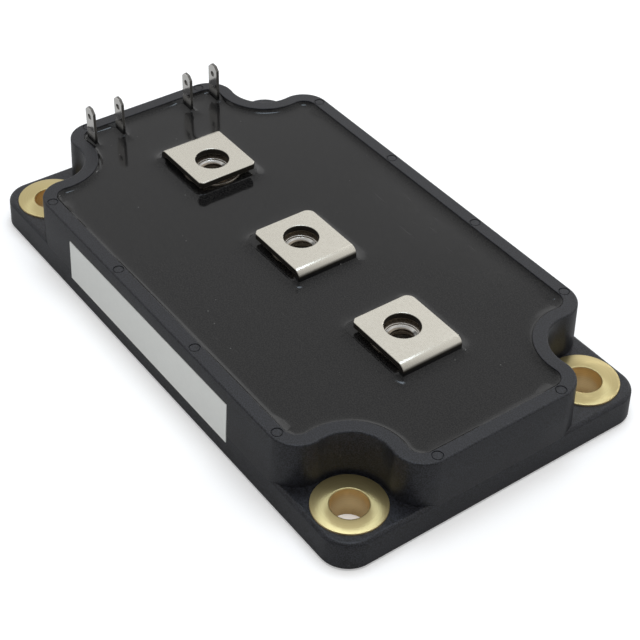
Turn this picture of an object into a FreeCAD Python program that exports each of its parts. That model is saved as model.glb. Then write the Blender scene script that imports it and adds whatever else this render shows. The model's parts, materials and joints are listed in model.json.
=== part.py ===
import FreeCAD, Part
import math
import os
import re
import Sketcher

# A half-bridge power module in its own frame: the origin is under the centre of the base plate,
# +X runs along the long side, the signal pins stand at the -X end, and +Z points up.

DIMENSIONS = (
    ("length", 108.0, "housing, end to end at its lower edge"),
    ("width", 62.0, "housing, side to side at its lower edge"),
    ("hole_inset_end", 7.5, "mounting holes' centres from the housing's ends"),
    ("hole_inset_side", 7.0, "mounting holes' centres from the housing's sides"),
    ("bolt_hole_dia", 6.4, "clearance hole for an M6 screw"),
    ("plate_thickness", 3.0, "copper base plate"),
    ("plate_standoff", 0.5, "how far the plate stands out below the housing"),
    ("plate_gap", 0.1, "between the plate's edge and the housing's skirt"),
    ("skirt_width", 2.0, "housing wall beside the plate"),
    ("corner_radius", 5.0, "outer corners of the ears"),
    ("ear_top", 5.5, "height of the plastic around the bushings"),
    ("rim_top", 14.15, "height of the rim"),
    ("rim_setback", 0.5, "how far the draft brings the rim inside the lower edge"),
    ("rim_width", 2.5, "flat top of the wall"),
    ("rim_bevel", 0.3, "outer edge of the rim"),
    ("ear_bevel", 0.6, "outer upper edge of the ears"),
    ("notch_radius", 6.8, "hollow of each corner notch, at the rim"),
    ("shoulder_radius", 5.0, "round where a notch meets a side, at the rim"),
    ("collar_dia", 12.1, "bushing collar"),
    ("collar_height", 1.1, "bushing collar"),
    ("collar_proud", 0.3, "how far the collar stands above the ear"),
    ("collar_chamfer", 0.45, "mouth of the bushing's bore"),
    ("barrel_dia", 9.6, "bushing below its collar"),
    ("terminal_inset", 26.0, "holes of the outer power terminals from the housing's ends"),
    ("tab_top", 16.05, "height of the terminals' contact faces"),
    ("tab_width", 12.0, "terminal strip"),
    ("strip_thickness", 1.2, "terminal strip"),
    ("tab_hole_dia", 6.2, "hole in the tab"),
    ("tab_reach", 5.8, "hole centre to the tab's free end"),
    ("leg_reach", 7.9, "hole centre to the outer face of the leg"),
    ("bend_round", 1.4, "outer radius of the bend at the top of the leg"),
    ("foot_round", 0.3, "inner radius of the bend at the foot"),
    ("foot_length", 2.2, "foot beyond the leg's outer face"),
    ("foot_split", 4.0, "gap between the two feet"),
    ("split_height", 3.6, "gap between the two feet, above the plate"),
    ("tab_corner", 1.5, "rounded corners of the tabs' free ends"),
    ("tab_nip", 0.6, "clipped corners of the first tab's free end"),
    ("tab_reach_first", 5.65, "hole centre to the first tab's free end"),
    ("block_half_width", 6.7, "terminal block, from its middle to its side"),
    ("block_front", 7.5, "hole centre to the block's face under the free end"),
    ("block_front_first", 5.8, "the same on the first terminal"),
    ("block_cover_first", 1.4, "plastic behind the first terminal's leg"),
    ("block_top", 13.75, "height of the terminal blocks"),
    ("bar_width", 10.0, "cross bar that carries a terminal block"),
    ("bar_top", 12.4, "height of the cross bars, under the potting"),
    ("bar_bottom", 7.7, "underside of the cross bars"),
    ("nut_flats", 8.0, "terminal nut, across flats"),
    ("nut_height", 5.0, "terminal nut with its flange"),
    ("nut_top", 14.1, "height of the terminal nuts"),
    ("nut_flange_dia", 10.8, "flange of the terminal nut"),
    ("nut_flange_height", 1.0, "flange of the terminal nut"),
    ("nut_bore_dia", 4.2, "core hole of the M5 thread"),
    ("nut_mouth_dia", 5.5, "countersunk mouth of the thread"),
    ("nut_play", 0.1, "gap around a nut in its pocket"),
    ("relief_dia", 5.6, "space for a screw's end below the nut"),
    ("relief_depth", 0.6, "space for a screw's end below the nut"),
    ("pin_inset_end", 5.8, "signal pins from the housing's end"),
    ("pin_inset_side", 17.5, "outer signal pins from the housing's sides"),
    ("pin_spacing", 6.0, "the two pins of a pair, centre to centre"),
    ("pin_width", 2.8, "blade of a signal pin, along X"),
    ("pin_thickness", 0.6, "blade of a signal pin, along Y"),
    ("pin_top", 20.2, "height of the pins' tips"),
    ("pin_tip_chamfer", 0.8, "clipped corners of a pin's tip"),
    ("pin_hole_dia", 1.1, "hole in a pin's blade"),
    ("pin_hole_drop", 1.9, "pin tip to the middle of its hole"),
    ("pin_foot_length", 3.0, "foot of a signal pin, along Y"),
    ("pin_bend", 0.3, "inner radius of a pin's bend"),
    ("ledge_top", 6.0, "ledge that carries the pins' feet"),
    ("ledge_width", 4.6, "ledge that carries the pins' feet, from the cavity wall"),
    ("ledge_spare", 4.5, "ledge beyond the middle of the outer pins"),
    ("potting_top", 13.3, "level of the hard potting"),
    ("gel_top", 9.0, "level of the soft gel under the hard potting"),
    ("tile_inset_end", 12.0, "ceramic tiles from the housing's ends"),
    ("tile_inset_side", 15.5, "ceramic tiles from the housing's sides"),
    ("tile_gap", 4.0, "between the two ceramic tiles"),
    ("tile_thickness", 0.4, "ceramic tile"),
    ("copper_thickness", 0.3, "copper on either face of a tile"),
    ("copper_margin", 0.8, "bare edge of a tile"),
    ("solder_thickness", 0.1, "solder under chips and feet"),
    ("tile_solder_thickness", 0.2, "solder between a tile and the base plate"),
    ("track_gap", 0.8, "bare ceramic between two tracks"),
    ("emitter_track_share", 0.225, "tile centre to the emitter track's edge, as a share of the tile"),
    ("gate_track_width", 1.2, "gate track"),
    ("gate_track_share", 0.235, "tile centre to the gate track's middle, as a share of the tile"),
    ("gate_track_gap", 0.4, "bare ceramic beside a gate track"),
    ("gate_track_spare", 0.2, "gate track beyond the last row of chips"),
    ("island_width", 1.8, "signal islands beside the pins"),
    ("island_length", 4.0, "signal islands beside the pins, along Y"),
    ("chip_thickness", 0.2, "every chip"),
    ("switch_chip_size", 8.0, "transistor chip"),
    ("switch_chip_share", 0.1, "tile centre to the transistor chips, as a share of the tile"),
    ("diode_chip_size", 5.5, "diode chip"),
    ("diode_chip_share", 0.1125, "tile centre to the diode chips, the other way, as a share of the tile"),
    ("chip_gap", 0.8, "between two transistor chips of neighbouring rows"),
    ("chip_edge", 0.3, "first row of chips from the edge of the tracks"),
    ("wire_size", 0.4, "bond wire, across its flats"),
    ("wire_pitch", 2.4, "neighbouring bond wires"),
    ("wire_rise", 1.7, "height of a bond wire's loop"),
    ("wire_foot", 0.8, "flattened stitch of a bond wire"),
    ("bridge_pitch", 3.0, "wires that join the two tiles"),
    ("label_length", 49.7, "label on the side wall"),
    ("label_height", 8.05, "label on the side wall"),
    ("label_start", -26.4, "label's end nearest the pins, along X"),
    ("label_bottom", 3.35, "label's lower edge"),
    ("label_thickness", 0.1, "label on the side wall"),
)

ALIASES = {alias for alias, number, meaning in DIMENSIONS}

# Places and heights that follow from the driving dimensions, as formulas of the sheet's words.
HOLE_X = "(length / 2 - hole_inset_end)"
HOLE_Y = "(width / 2 - hole_inset_side)"
TERMINAL_PITCH = "(length / 2 - terminal_inset)"
CAVITY_INSET = "(rim_setback + rim_width)"
PIN_X = "(length / 2 - pin_inset_end)"
PIN_FAR_Y = "(width / 2 - pin_inset_side)"
PIN_NEAR_Y = f"({PIN_FAR_Y} - pin_spacing)"
TILE_LENGTH = "(length / 2 - tile_inset_end - tile_gap / 2)"
TILE_WIDTH = "(width - 2 * tile_inset_side)"
TILE_X = f"({TILE_LENGTH} / 2 + tile_gap / 2)"
TRACK_END_X = f"({TILE_LENGTH} / 2 - copper_margin)"
TRACK_END_Y = f"({TILE_WIDTH} / 2 - copper_margin)"
EMITTER_END = f"(emitter_track_share * {TILE_LENGTH})"
GATE_X = f"(gate_track_share * {TILE_LENGTH})"
SWITCH_X = f"(switch_chip_share * {TILE_LENGTH})"
DIODE_X = f"(diode_chip_share * {TILE_LENGTH})"
CHIP_PITCH = "(switch_chip_size + chip_gap)"
TILE_BOTTOM = "(plate_thickness + tile_solder_thickness + copper_thickness)"
TRACK_BOTTOM = f"({TILE_BOTTOM} + tile_thickness)"
TRACK_TOP = f"({TRACK_BOTTOM} + copper_thickness)"
CHIP_BOTTOM = f"({TRACK_TOP} + solder_thickness)"
CHIP_TOP = f"({CHIP_BOTTOM} + chip_thickness)"
NUT_SEAT = "(nut_top - nut_flange_height)"
NUT_BOTTOM = "(nut_top - nut_height)"

# The two halves of the circuit: the tile's sign along X, and its name.
SIDES = ((-1, "low_side"), (1, "high_side"))

# The three power terminals: the hole's place in steps of the pitch, and whether the strip is
# turned round, with its leg towards the pins.
TERMINALS = ((-1, True), (0, False), (1, False))

# The corners of a bond wire's loop: part of the span, and drop below the crest as a part of the rise.
LOOP_SHAPE = ((0.3, 0.0), (0.7, 0.0))

# Two places closer than this are the same place.
NEARLY = 1e-4

doc = FreeCAD.newDocument("power_module")
sheet = doc.addObject("Spreadsheet::Sheet", "dims")
for row, (alias, number, meaning) in enumerate(DIMENSIONS, start=1):
    sheet.set(f"A{row}", alias)
    sheet.set(f"B{row}", str(number))
    sheet.setAlias(f"B{row}", alias)
    sheet.set(f"C{row}", meaning)
doc.recompute()

reading = doc.addObject("App::FeaturePython", "reading")
reading.addProperty("App::PropertyFloat", "Number")


def bound(formula):
    """Turn a formula of the sheet's words into one that any object can be bound to."""
    return re.sub(
        r"[a-z_]+",
        lambda word: f"dims.{word[0]}" if word[0] in ALIASES else word[0],
        str(formula),
    )


def value(formula):
    """The number that a formula gives now."""
    reading.setExpression("Number", bound(formula))
    reading.recompute()
    return reading.Number


def bind(thing, **formulas):
    """Bind properties to formulas; a double underscore stands for the dot in a property's path."""
    for name, formula in formulas.items():
        thing.setExpression(name.replace("__", "."), bound(formula))


def place(thing, x="0", y="0", z="0"):
    bind(thing, Placement__Base__x=x, Placement__Base__y=y, Placement__Base__z=z)


def new_body(label):
    body = doc.addObject("PartDesign::Body", label)
    body.Label = label
    return body


def new_sketch(body, name, plane="XY_Plane", offset="0"):
    """A sketch on one of the body's origin planes, lifted off it by a formula."""
    sketch = body.newObject("Sketcher::SketchObject", name)
    origin_plane = next(item for item in body.Origin.OriginFeatures if item.Role == plane)
    sketch.AttachmentSupport = [(origin_plane, "")]
    sketch.MapMode = "FlatFace"
    bind(sketch, AttachmentOffset__Base__z=offset)
    return sketch


def drive(sketch, kind, *target, formula):
    """Add a dimension to a sketch and bind it to a formula."""
    index = sketch.addConstraint(Sketcher.Constraint(kind, *target, value(formula)))
    sketch.setExpression(f"Constraints[{index}]", bound(formula))


def point_at(sketch, geometry, position, across=None, along=None):
    """Place one point of a sketch, measured from the sketch's origin."""
    if across is not None:
        drive(sketch, "DistanceX", -1, 1, geometry, position, formula=across)
    if along is not None:
        drive(sketch, "DistanceY", -1, 1, geometry, position, formula=along)


def line(start, end):
    return Part.LineSegment(FreeCAD.Vector(*start, 0), FreeCAD.Vector(*end, 0))


def arc(centre, radius, start, end):
    """An arc drawn anticlockwise between two directions given as angles."""
    circle = Part.Circle(FreeCAD.Vector(*centre, 0), FreeCAD.Vector(0, 0, 1), radius)
    while end <= start:
        end += 2 * math.pi
    return Part.ArcOfCircle(circle, start, end)


def join(sketch, kind, pieces):
    """Close a loop: each piece's last point meets the next one's first point."""
    for here, there in zip(pieces, pieces[1:] + pieces[:1]):
        sketch.addConstraint(Sketcher.Constraint(kind, here[0], here[2], there[0], there[1]))


def polygon(sketch, corners):
    """A closed outline of straight lines, each corner given by two formulas."""
    spots = [(value(across), value(along)) for across, along in corners]
    count = len(spots)
    lines = [sketch.addGeometry(line(spots[i], spots[(i + 1) % count])) for i in range(count)]
    join(sketch, "Coincident", [(index, 1, 2) for index in lines])
    for index, (across, along) in zip(lines, corners):
        point_at(sketch, index, 1, across, along)


def rectangle(sketch, left, right, low, high):
    polygon(sketch, [(left, low), (right, low), (right, high), (left, high)])


def circle(sketch, across, along, diameter):
    centre = FreeCAD.Vector(value(across), value(along), 0)
    radius = value(f"({diameter}) / 2")
    index = sketch.addGeometry(Part.Circle(centre, FreeCAD.Vector(0, 0, 1), radius))
    point_at(sketch, index, 3, across, along)
    drive(sketch, "Diameter", index, formula=diameter)


def rounded_rectangle(sketch, half_long, half_short, radius):
    """A rectangle about the origin whose corners are arcs tangent to its sides."""
    far = value(half_long)
    high = value(half_short)
    bend = value(radius)
    quarter = math.pi / 2
    pieces = []
    turns = ((1, 1), (-1, 1), (-1, -1), (1, -1))
    for step, (sign_x, sign_y) in enumerate(turns):
        centre = (sign_x * (far - bend), sign_y * (high - bend))
        index = sketch.addGeometry(arc(centre, bend, step * quarter, (step + 1) * quarter))
        drive(sketch, "Radius", index, formula=radius)
        pieces.append((index, 1, 2))
    sides = []
    for step in range(4):
        start = sketch.getPoint(pieces[step][0], 2)
        end = sketch.getPoint(pieces[(step + 1) % 4][0], 1)
        index = sketch.addGeometry(Part.LineSegment(start, end))
        sides.append((index, 1, 2))
    loop = [piece for pair in zip(pieces, sides) for piece in pair]
    join(sketch, "Tangent", loop)
    for (index, first, last), kind in zip(sides, ("Horizontal", "Vertical") * 2):
        sketch.addConstraint(Sketcher.Constraint(kind, index))
    point_at(sketch, sides[0][0], 1, along=half_short)
    point_at(sketch, sides[1][0], 1, across=f"-({half_long})")
    point_at(sketch, sides[2][0], 1, along=f"-({half_short})")
    point_at(sketch, sides[3][0], 1, across=half_long)


def notched_outline(sketch, half_long, half_short, notch, shoulder):
    """The tub's outline: at each corner a hollow arc about the mounting hole runs smoothly into
    the long and the short side through one round shoulder each."""
    far = value(half_long)
    high = value(half_short)
    hollow = value(notch)
    bend = value(shoulder)
    hole_x = value(HOLE_X)
    hole_y = value(HOLE_Y)
    reach = hollow + bend
    short_y = hole_y - math.sqrt(reach**2 - (far - bend - hole_x)**2)
    long_x = hole_x - math.sqrt(reach**2 - (high - bend - hole_y)**2)
    loop = []
    for sign_x, sign_y in ((1, 1), (-1, 1), (-1, -1), (1, -1)):
        hole = (sign_x * hole_x, sign_y * hole_y)
        on_short = (sign_x * (far - bend), sign_y * short_y)
        on_long = (sign_x * long_x, sign_y * (high - bend))
        to_short = math.atan2(on_short[1] - hole[1], on_short[0] - hole[0])
        to_long = math.atan2(on_long[1] - hole[1], on_long[0] - hole[0])
        side_short = 0 if sign_x > 0 else math.pi
        side_long = math.pi / 2 * sign_y
        if sign_x == sign_y:
            first = arc(on_short, bend, side_short, to_short + math.pi)
            middle = arc(hole, hollow, to_long, to_short)
            last = arc(on_long, bend, to_long + math.pi, side_long)
        else:
            first = arc(on_long, bend, side_long, to_long + math.pi)
            middle = arc(hole, hollow, to_short, to_long)
            last = arc(on_short, bend, to_short + math.pi, side_short)
        pieces = [sketch.addGeometry(piece) for piece in (first, middle, last)]
        drive(sketch, "Radius", pieces[0], formula=shoulder)
        drive(sketch, "Radius", pieces[1], formula=notch)
        drive(sketch, "Radius", pieces[2], formula=shoulder)
        point_at(sketch, pieces[1], 3, f"{sign_x} * {HOLE_X}", f"{sign_y} * {HOLE_Y}")
        loop += [(pieces[0], 1, 2), (pieces[1], 2, 1), (pieces[2], 1, 2)]
    closed = []
    for corner in range(4):
        closed += loop[3 * corner:3 * corner + 3]
        start = sketch.getPoint(closed[-1][0], 2)
        end = sketch.getPoint(loop[(3 * corner + 3) % 12][0], 1)
        index = sketch.addGeometry(Part.LineSegment(start, end))
        sketch.addConstraint(Sketcher.Constraint(("Horizontal", "Vertical")[corner % 2], index))
        if corner % 2 == 0:
            point_at(sketch, index, 1, along=f"{1 - corner} * ({half_short})")
        else:
            point_at(sketch, index, 1, across=f"{corner - 2} * ({half_long})")
        closed.append((index, 1, 2))
    join(sketch, "Tangent", closed)


def pad(body, sketch, height, taper=None):
    feature = body.newObject("PartDesign::Pad", f"{sketch.Name}_pad")
    feature.Profile = sketch
    bind(feature, Length=height)
    if taper:
        bind(feature, TaperAngle=taper)
    sketch.Visibility = False
    return feature


def slab(body, sketch, width):
    """A pad that goes half its width to either side of the sketch."""
    feature = pad(body, sketch, width)
    feature.Midplane = True
    return feature


def pocket(body, sketch, depth):
    """Cut downwards from the sketch, or evenly both ways where no depth is given."""
    feature = body.newObject("PartDesign::Pocket", f"{sketch.Name}_cut")
    feature.Profile = sketch
    if depth:
        bind(feature, Length=depth)
    else:
        feature.Type = "ThroughAll"
        feature.Midplane = True
    sketch.Visibility = False
    return feature


def revolve(body, sketch):
    feature = body.newObject("PartDesign::Revolution", f"{sketch.Name}_turn")
    feature.Profile = sketch
    feature.ReferenceAxis = (sketch, ["V_Axis"])
    feature.Angle = 360
    sketch.Visibility = False
    return feature


def dress(body, kind, name, base, wanted, size, property_name):
    """Round or clip those edges of a feature that a test picks."""
    doc.recompute()
    edges = [f"Edge{i}" for i, edge in enumerate(base.Shape.Edges, start=1) if wanted(edge)]
    feature = body.newObject(kind, name)
    feature.Base = (base, edges)
    bind(feature, **{property_name: size})
    body.Tip = feature
    return feature


def fillet(body, name, base, wanted, size):
    return dress(body, "PartDesign::Fillet", name, base, wanted, size, "Radius")


def chamfer(body, name, base, wanted, size):
    return dress(body, "PartDesign::Chamfer", name, base, wanted, size, "Size")


def box(label, x, y, z, sizes):
    """A plain block between pairs of formulas, given by its low corner and its sizes."""
    block = doc.addObject("Part::Box", label)
    block.Label = label
    bind(block, Length=sizes[0], Width=sizes[1], Height=sizes[2])
    place(block, x, y, z)
    return block


def group(label, members):
    """Several separate solids that make up one named piece."""
    compound = doc.addObject("Part::Compound", label)
    compound.Label = label
    compound.Links = members
    return compound


def corners():
    """Signs of the four corners of the module."""
    return [(sign_x, sign_y) for sign_x in (-1, 1) for sign_y in (-1, 1)]


def level(edge, height):
    """Whether an edge lies flat at a height."""
    limits = edge.BoundBox
    return abs(limits.ZMin - height) < NEARLY and abs(limits.ZMax - height) < NEARLY


# The base plate: one flat sheet of plated copper with the four mounting holes.
def make_base_plate():
    body = new_body("base_plate")
    outline = new_sketch(body, "plate_outline")
    inset = "(skirt_width + plate_gap)"
    half_long = f"length / 2 - {inset}"
    half_short = f"width / 2 - {inset}"
    rounded_rectangle(outline, half_long, half_short, f"corner_radius - {inset}")
    pad(body, outline, "plate_thickness")
    holes = new_sketch(body, "plate_holes", offset="plate_thickness")
    for sign_x, sign_y in corners():
        circle(holes, f"{sign_x} * {HOLE_X}", f"{sign_y} * {HOLE_Y}", "bolt_hole_dia")
    pocket(body, holes, "plate_thickness")
    return body


# The housing: a moulded frame, open above and below, with four ears, a notched tub wall, three
# cross bars with a nut pocket each, and a ledge for the signal pins.
def make_housing():
    body = new_body("housing_frame")
    bottom = "plate_standoff"
    draft = "-atan(rim_setback / (rim_top - plate_standoff))"
    flange = new_sketch(body, "flange_outline", offset=bottom)
    rounded_rectangle(flange, "length / 2", "width / 2", "corner_radius")
    flange_pad = pad(body, flange, "ear_top - plate_standoff", draft)
    ear_height = value("ear_top")
    chamfer(body, "ear_edge", flange_pad, lambda edge: level(edge, ear_height), "ear_bevel")

    tub = new_sketch(body, "tub_outline", offset=bottom)
    hollow = "notch_radius - rim_setback"
    shoulder = "shoulder_radius + rim_setback"
    notched_outline(tub, "length / 2", "width / 2", hollow, shoulder)
    tub_pad = pad(body, tub, "rim_top - plate_standoff", draft)
    rim_height = value("rim_top")
    chamfer(body, "rim_edge", tub_pad, lambda edge: level(edge, rim_height), "rim_bevel")

    cavity = new_sketch(body, "cavity_outline", offset="rim_top")
    cavity_sketch(cavity)
    pocket(body, cavity, "rim_top - plate_standoff")

    recess = new_sketch(body, "plate_recess", offset="plate_thickness")
    half_long = "length / 2 - skirt_width"
    half_short = "width / 2 - skirt_width"
    rounded_rectangle(recess, half_long, half_short, "corner_radius - skirt_width")
    pocket(body, recess, "plate_thickness - plate_standoff")

    seats = new_sketch(body, "collar_seats", offset="ear_top")
    bores = new_sketch(body, "barrel_holes", offset="ear_top")
    for sign_x, sign_y in corners():
        spot = (f"{sign_x} * {HOLE_X}", f"{sign_y} * {HOLE_Y}")
        circle(seats, *spot, "collar_dia")
        circle(bores, *spot, "barrel_dia")
    pocket(body, seats, "collar_height - collar_proud")
    pocket(body, bores, "ear_top - plate_thickness")

    bars = new_sketch(body, "cross_bars", offset="bar_bottom")
    blocks = new_sketch(body, "terminal_blocks", offset="bar_bottom")
    slots = new_sketch(body, "leg_slots", offset="block_top")
    rings = new_sketch(body, "flange_seats", offset="block_top")
    hexes = new_sketch(body, "nut_pockets", offset=NUT_SEAT)
    reliefs = new_sketch(body, "screw_reliefs", offset=NUT_BOTTOM)
    for step, turned in TERMINALS:
        middle = f"{step} * {TERMINAL_PITCH}"
        into_wall = "(width / 2 - rim_setback - rim_width / 2)"
        left, right = (f"{middle} - bar_width / 2", f"{middle} + bar_width / 2")
        rectangle(bars, left, right, f"-{into_wall}", into_wall)
        left, right = (f"{middle} + {end}" for end in block_ends(turned))
        rectangle(blocks, left, right, "-block_half_width", "block_half_width")
        if turned:
            slot = ("-leg_reach", "-leg_reach + strip_thickness")
        else:
            slot = ("leg_reach - strip_thickness", "leg_reach")
        left, right = (f"{middle} + {end}" for end in slot)
        rectangle(slots, left, right, "-tab_width / 2", "tab_width / 2")
        circle(rings, middle, "0", "nut_flange_dia + 2 * nut_play")
        hexagon(hexes, middle, "nut_flats / 2 + nut_play")
        circle(reliefs, middle, "0", "relief_dia")
    pad(body, bars, "bar_top - bar_bottom")
    pad(body, blocks, "block_top - bar_bottom")
    pocket(body, slots, "block_top - bar_bottom")
    pocket(body, rings, f"block_top - {NUT_SEAT}")
    pocket(body, hexes, f"{NUT_SEAT} - {NUT_BOTTOM}")
    pocket(body, reliefs, "relief_depth")

    ledge = new_sketch(body, "pin_ledge", offset="plate_thickness")
    cavity_end = f"(length / 2 - {CAVITY_INSET})"
    ledge_end = f"({PIN_FAR_Y} + ledge_spare)"
    left, right = (f"-{cavity_end} - rim_width / 2", f"-{cavity_end} + ledge_width")
    rectangle(ledge, left, right, f"-{ledge_end}", ledge_end)
    body.Tip = pad(body, ledge, "ledge_top - plate_thickness")
    return body


def cavity_sketch(sketch):
    """The outline of the tub's cavity, which the two fillings share."""
    half_long = f"length / 2 - {CAVITY_INSET}"
    half_short = f"width / 2 - {CAVITY_INSET}"
    hollow = "notch_radius + rim_width"
    notched_outline(sketch, half_long, half_short, hollow, "shoulder_radius - rim_width")


def block_ends(turned):
    """A terminal block's two faces along X, from the hole's centre."""
    if turned:
        return "(-leg_reach - block_cover_first)", "block_front_first"
    return "(-block_front)", "leg_reach"


def hexagon(sketch, middle, half_flats):
    """A hexagon about a point on the X axis, with two corners along Y."""
    side = f"({half_flats}) / cos(30)"
    corners_about = []
    for turn in range(6):
        angle = 30 + 60 * turn
        corners_about.append((f"{middle} + {side} * cos({angle})", f"{side} * sin({angle})"))
    polygon(sketch, corners_about)


# A mounting bushing: a turned brass ring with a collar, pressed into its ear.
def make_bushing(number, sign_x, sign_y):
    body = new_body(f"mounting_bushing_{number}")
    profile = new_sketch(body, f"bushing_profile_{number}", plane="XZ_Plane")
    top = "(ear_top + collar_proud)"
    under = f"({top} - collar_height)"
    polygon(profile, [
        ("bolt_hole_dia / 2", "plate_thickness"),
        ("barrel_dia / 2", "plate_thickness"),
        ("barrel_dia / 2", under),
        ("collar_dia / 2", under),
        ("collar_dia / 2", top),
        ("bolt_hole_dia / 2 + collar_chamfer", top),
        ("bolt_hole_dia / 2", f"{top} - collar_chamfer"),
    ])
    revolve(body, profile)
    place(body, f"{sign_x} * {HOLE_X}", f"{sign_y} * {HOLE_Y}")
    return body


# A power terminal: one nickel-plated copper strip, folded over its nut at the top and out into two
# solder feet at the bottom.
def make_terminal(number, step, turned):
    body = new_body(f"power_terminal_{number}")
    profile = new_sketch(body, f"strip_profile_{number}", plane="XZ_Plane")
    reach = "tab_reach_first" if turned else "tab_reach"
    strip_profile(profile, reach)
    slab(body, profile, "tab_width")
    holes = new_sketch(body, f"tab_hole_{number}", offset="tab_top")
    circle(holes, "0", "0", "tab_hole_dia")
    pocket(body, holes, "strip_thickness")
    split = new_sketch(body, f"foot_gap_{number}", offset="plate_thickness + split_height")
    split_start = "leg_reach - strip_thickness - bend_round"
    split_end = "leg_reach + foot_length + bend_round"
    rectangle(split, split_start, split_end, "-foot_split / 2", "foot_split / 2")
    cut = pocket(body, split, "split_height")
    free_end = -value(reach)

    def free_corner(edge):
        limits = edge.BoundBox
        at_end = abs(limits.XMin - free_end) < NEARLY and abs(limits.XMax - free_end) < NEARLY
        return at_end and limits.YLength < NEARLY

    if turned:
        chamfer(body, f"clipped_corners_{number}", cut, free_corner, "tab_nip")
        body.Placement.Rotation = FreeCAD.Rotation(FreeCAD.Vector(0, 0, 1), 180)
    else:
        fillet(body, f"round_corners_{number}", cut, free_corner, "tab_corner")
    place(body, f"{step} * {TERMINAL_PITCH}")
    return body


def strip_profile(sketch, reach):
    """The folded strip seen from its side: tab, leg and foot, with both bends as arcs."""
    end = value(reach)
    leg = value("leg_reach")
    top = value("tab_top")
    thick = value("strip_thickness")
    bend = value("bend_round")
    crook = value("foot_round")
    foot_top = value(f"{CHIP_BOTTOM} + strip_thickness")
    foot_end = value("leg_reach + foot_length")
    quarter = math.pi / 2
    over = (leg - bend, top - bend)
    under = (leg + crook, foot_top + crook)
    shapes = (
        line((-end, top), (over[0], top)),
        arc(over, bend, 0, quarter),
        line((leg, over[1]), (leg, under[1])),
        arc(under, crook, 2 * quarter, 3 * quarter),
        line((under[0], foot_top), (foot_end, foot_top)),
        line((foot_end, foot_top), (foot_end, foot_top - thick)),
        line((foot_end, foot_top - thick), (under[0], foot_top - thick)),
        arc(under, crook + thick, 2 * quarter, 3 * quarter),
        line((leg - thick, under[1]), (leg - thick, over[1])),
        arc(over, bend - thick, 0, quarter),
        line((over[0], top - thick), (-end, top - thick)),
        line((-end, top - thick), (-end, top)),
    )
    index = [sketch.addGeometry(shape) for shape in shapes]
    backwards = {1, 7}
    ends = [(2, 1) if spot in backwards else (1, 2) for spot in range(len(shapes))]
    pieces = [(geometry, *pair) for geometry, pair in zip(index, ends)]
    smooth = {0, 1, 2, 3, 6, 7, 8, 9}
    for spot, (here, there) in enumerate(zip(pieces, pieces[1:] + pieces[:1])):
        kind = "Tangent" if spot in smooth else "Coincident"
        sketch.addConstraint(Sketcher.Constraint(kind, here[0], here[2], there[0], there[1]))
    for flat in (0, 4, 6, 10):
        sketch.addConstraint(Sketcher.Constraint("Horizontal", index[flat]))
    for upright in (2, 5, 8, 11):
        sketch.addConstraint(Sketcher.Constraint("Vertical", index[upright]))
    drive(sketch, "Radius", index[1], formula="bend_round")
    drive(sketch, "Radius", index[3], formula="foot_round")
    drive(sketch, "Radius", index[7], formula="foot_round + strip_thickness")
    drive(sketch, "Radius", index[9], formula="bend_round - strip_thickness")
    point_at(sketch, index[0], 1, f"-({reach})", "tab_top")
    point_at(sketch, index[2], 1, across="leg_reach")
    point_at(sketch, index[8], 1, across="leg_reach - strip_thickness")
    point_at(sketch, index[10], 1, along="tab_top - strip_thickness")
    point_at(sketch, index[5], 1, "leg_reach + foot_length", f"{CHIP_BOTTOM} + strip_thickness")
    point_at(sketch, index[6], 1, along=CHIP_BOTTOM)


# A terminal nut: a hexagon with a round flange on top, which lies loose in its pocket.
def make_nut(number, step):
    body = new_body(f"nut_{number}")
    hexes = new_sketch(body, f"nut_hexagon_{number}", offset=NUT_BOTTOM)
    hexagon(hexes, "0", "nut_flats / 2")
    pad(body, hexes, "nut_height - nut_flange_height")
    disc = new_sketch(body, f"nut_flange_{number}", offset=NUT_SEAT)
    circle(disc, "0", "0", "nut_flange_dia")
    pad(body, disc, "nut_flange_height")
    bore = new_sketch(body, f"nut_bore_{number}", offset="nut_top")
    circle(bore, "0", "0", "nut_bore_dia")
    drilled = pocket(body, bore, "nut_height")
    bore_width = value("nut_bore_dia")
    top_height = value("nut_top")

    def mouth(edge):
        return level(edge, top_height) and abs(edge.BoundBox.XLength - bore_width) < NEARLY

    chamfer(body, f"nut_mouth_{number}", drilled, mouth, "(nut_mouth_dia - nut_bore_dia) / 2")
    place(body, f"{step} * {TERMINAL_PITCH}")
    return body


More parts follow.
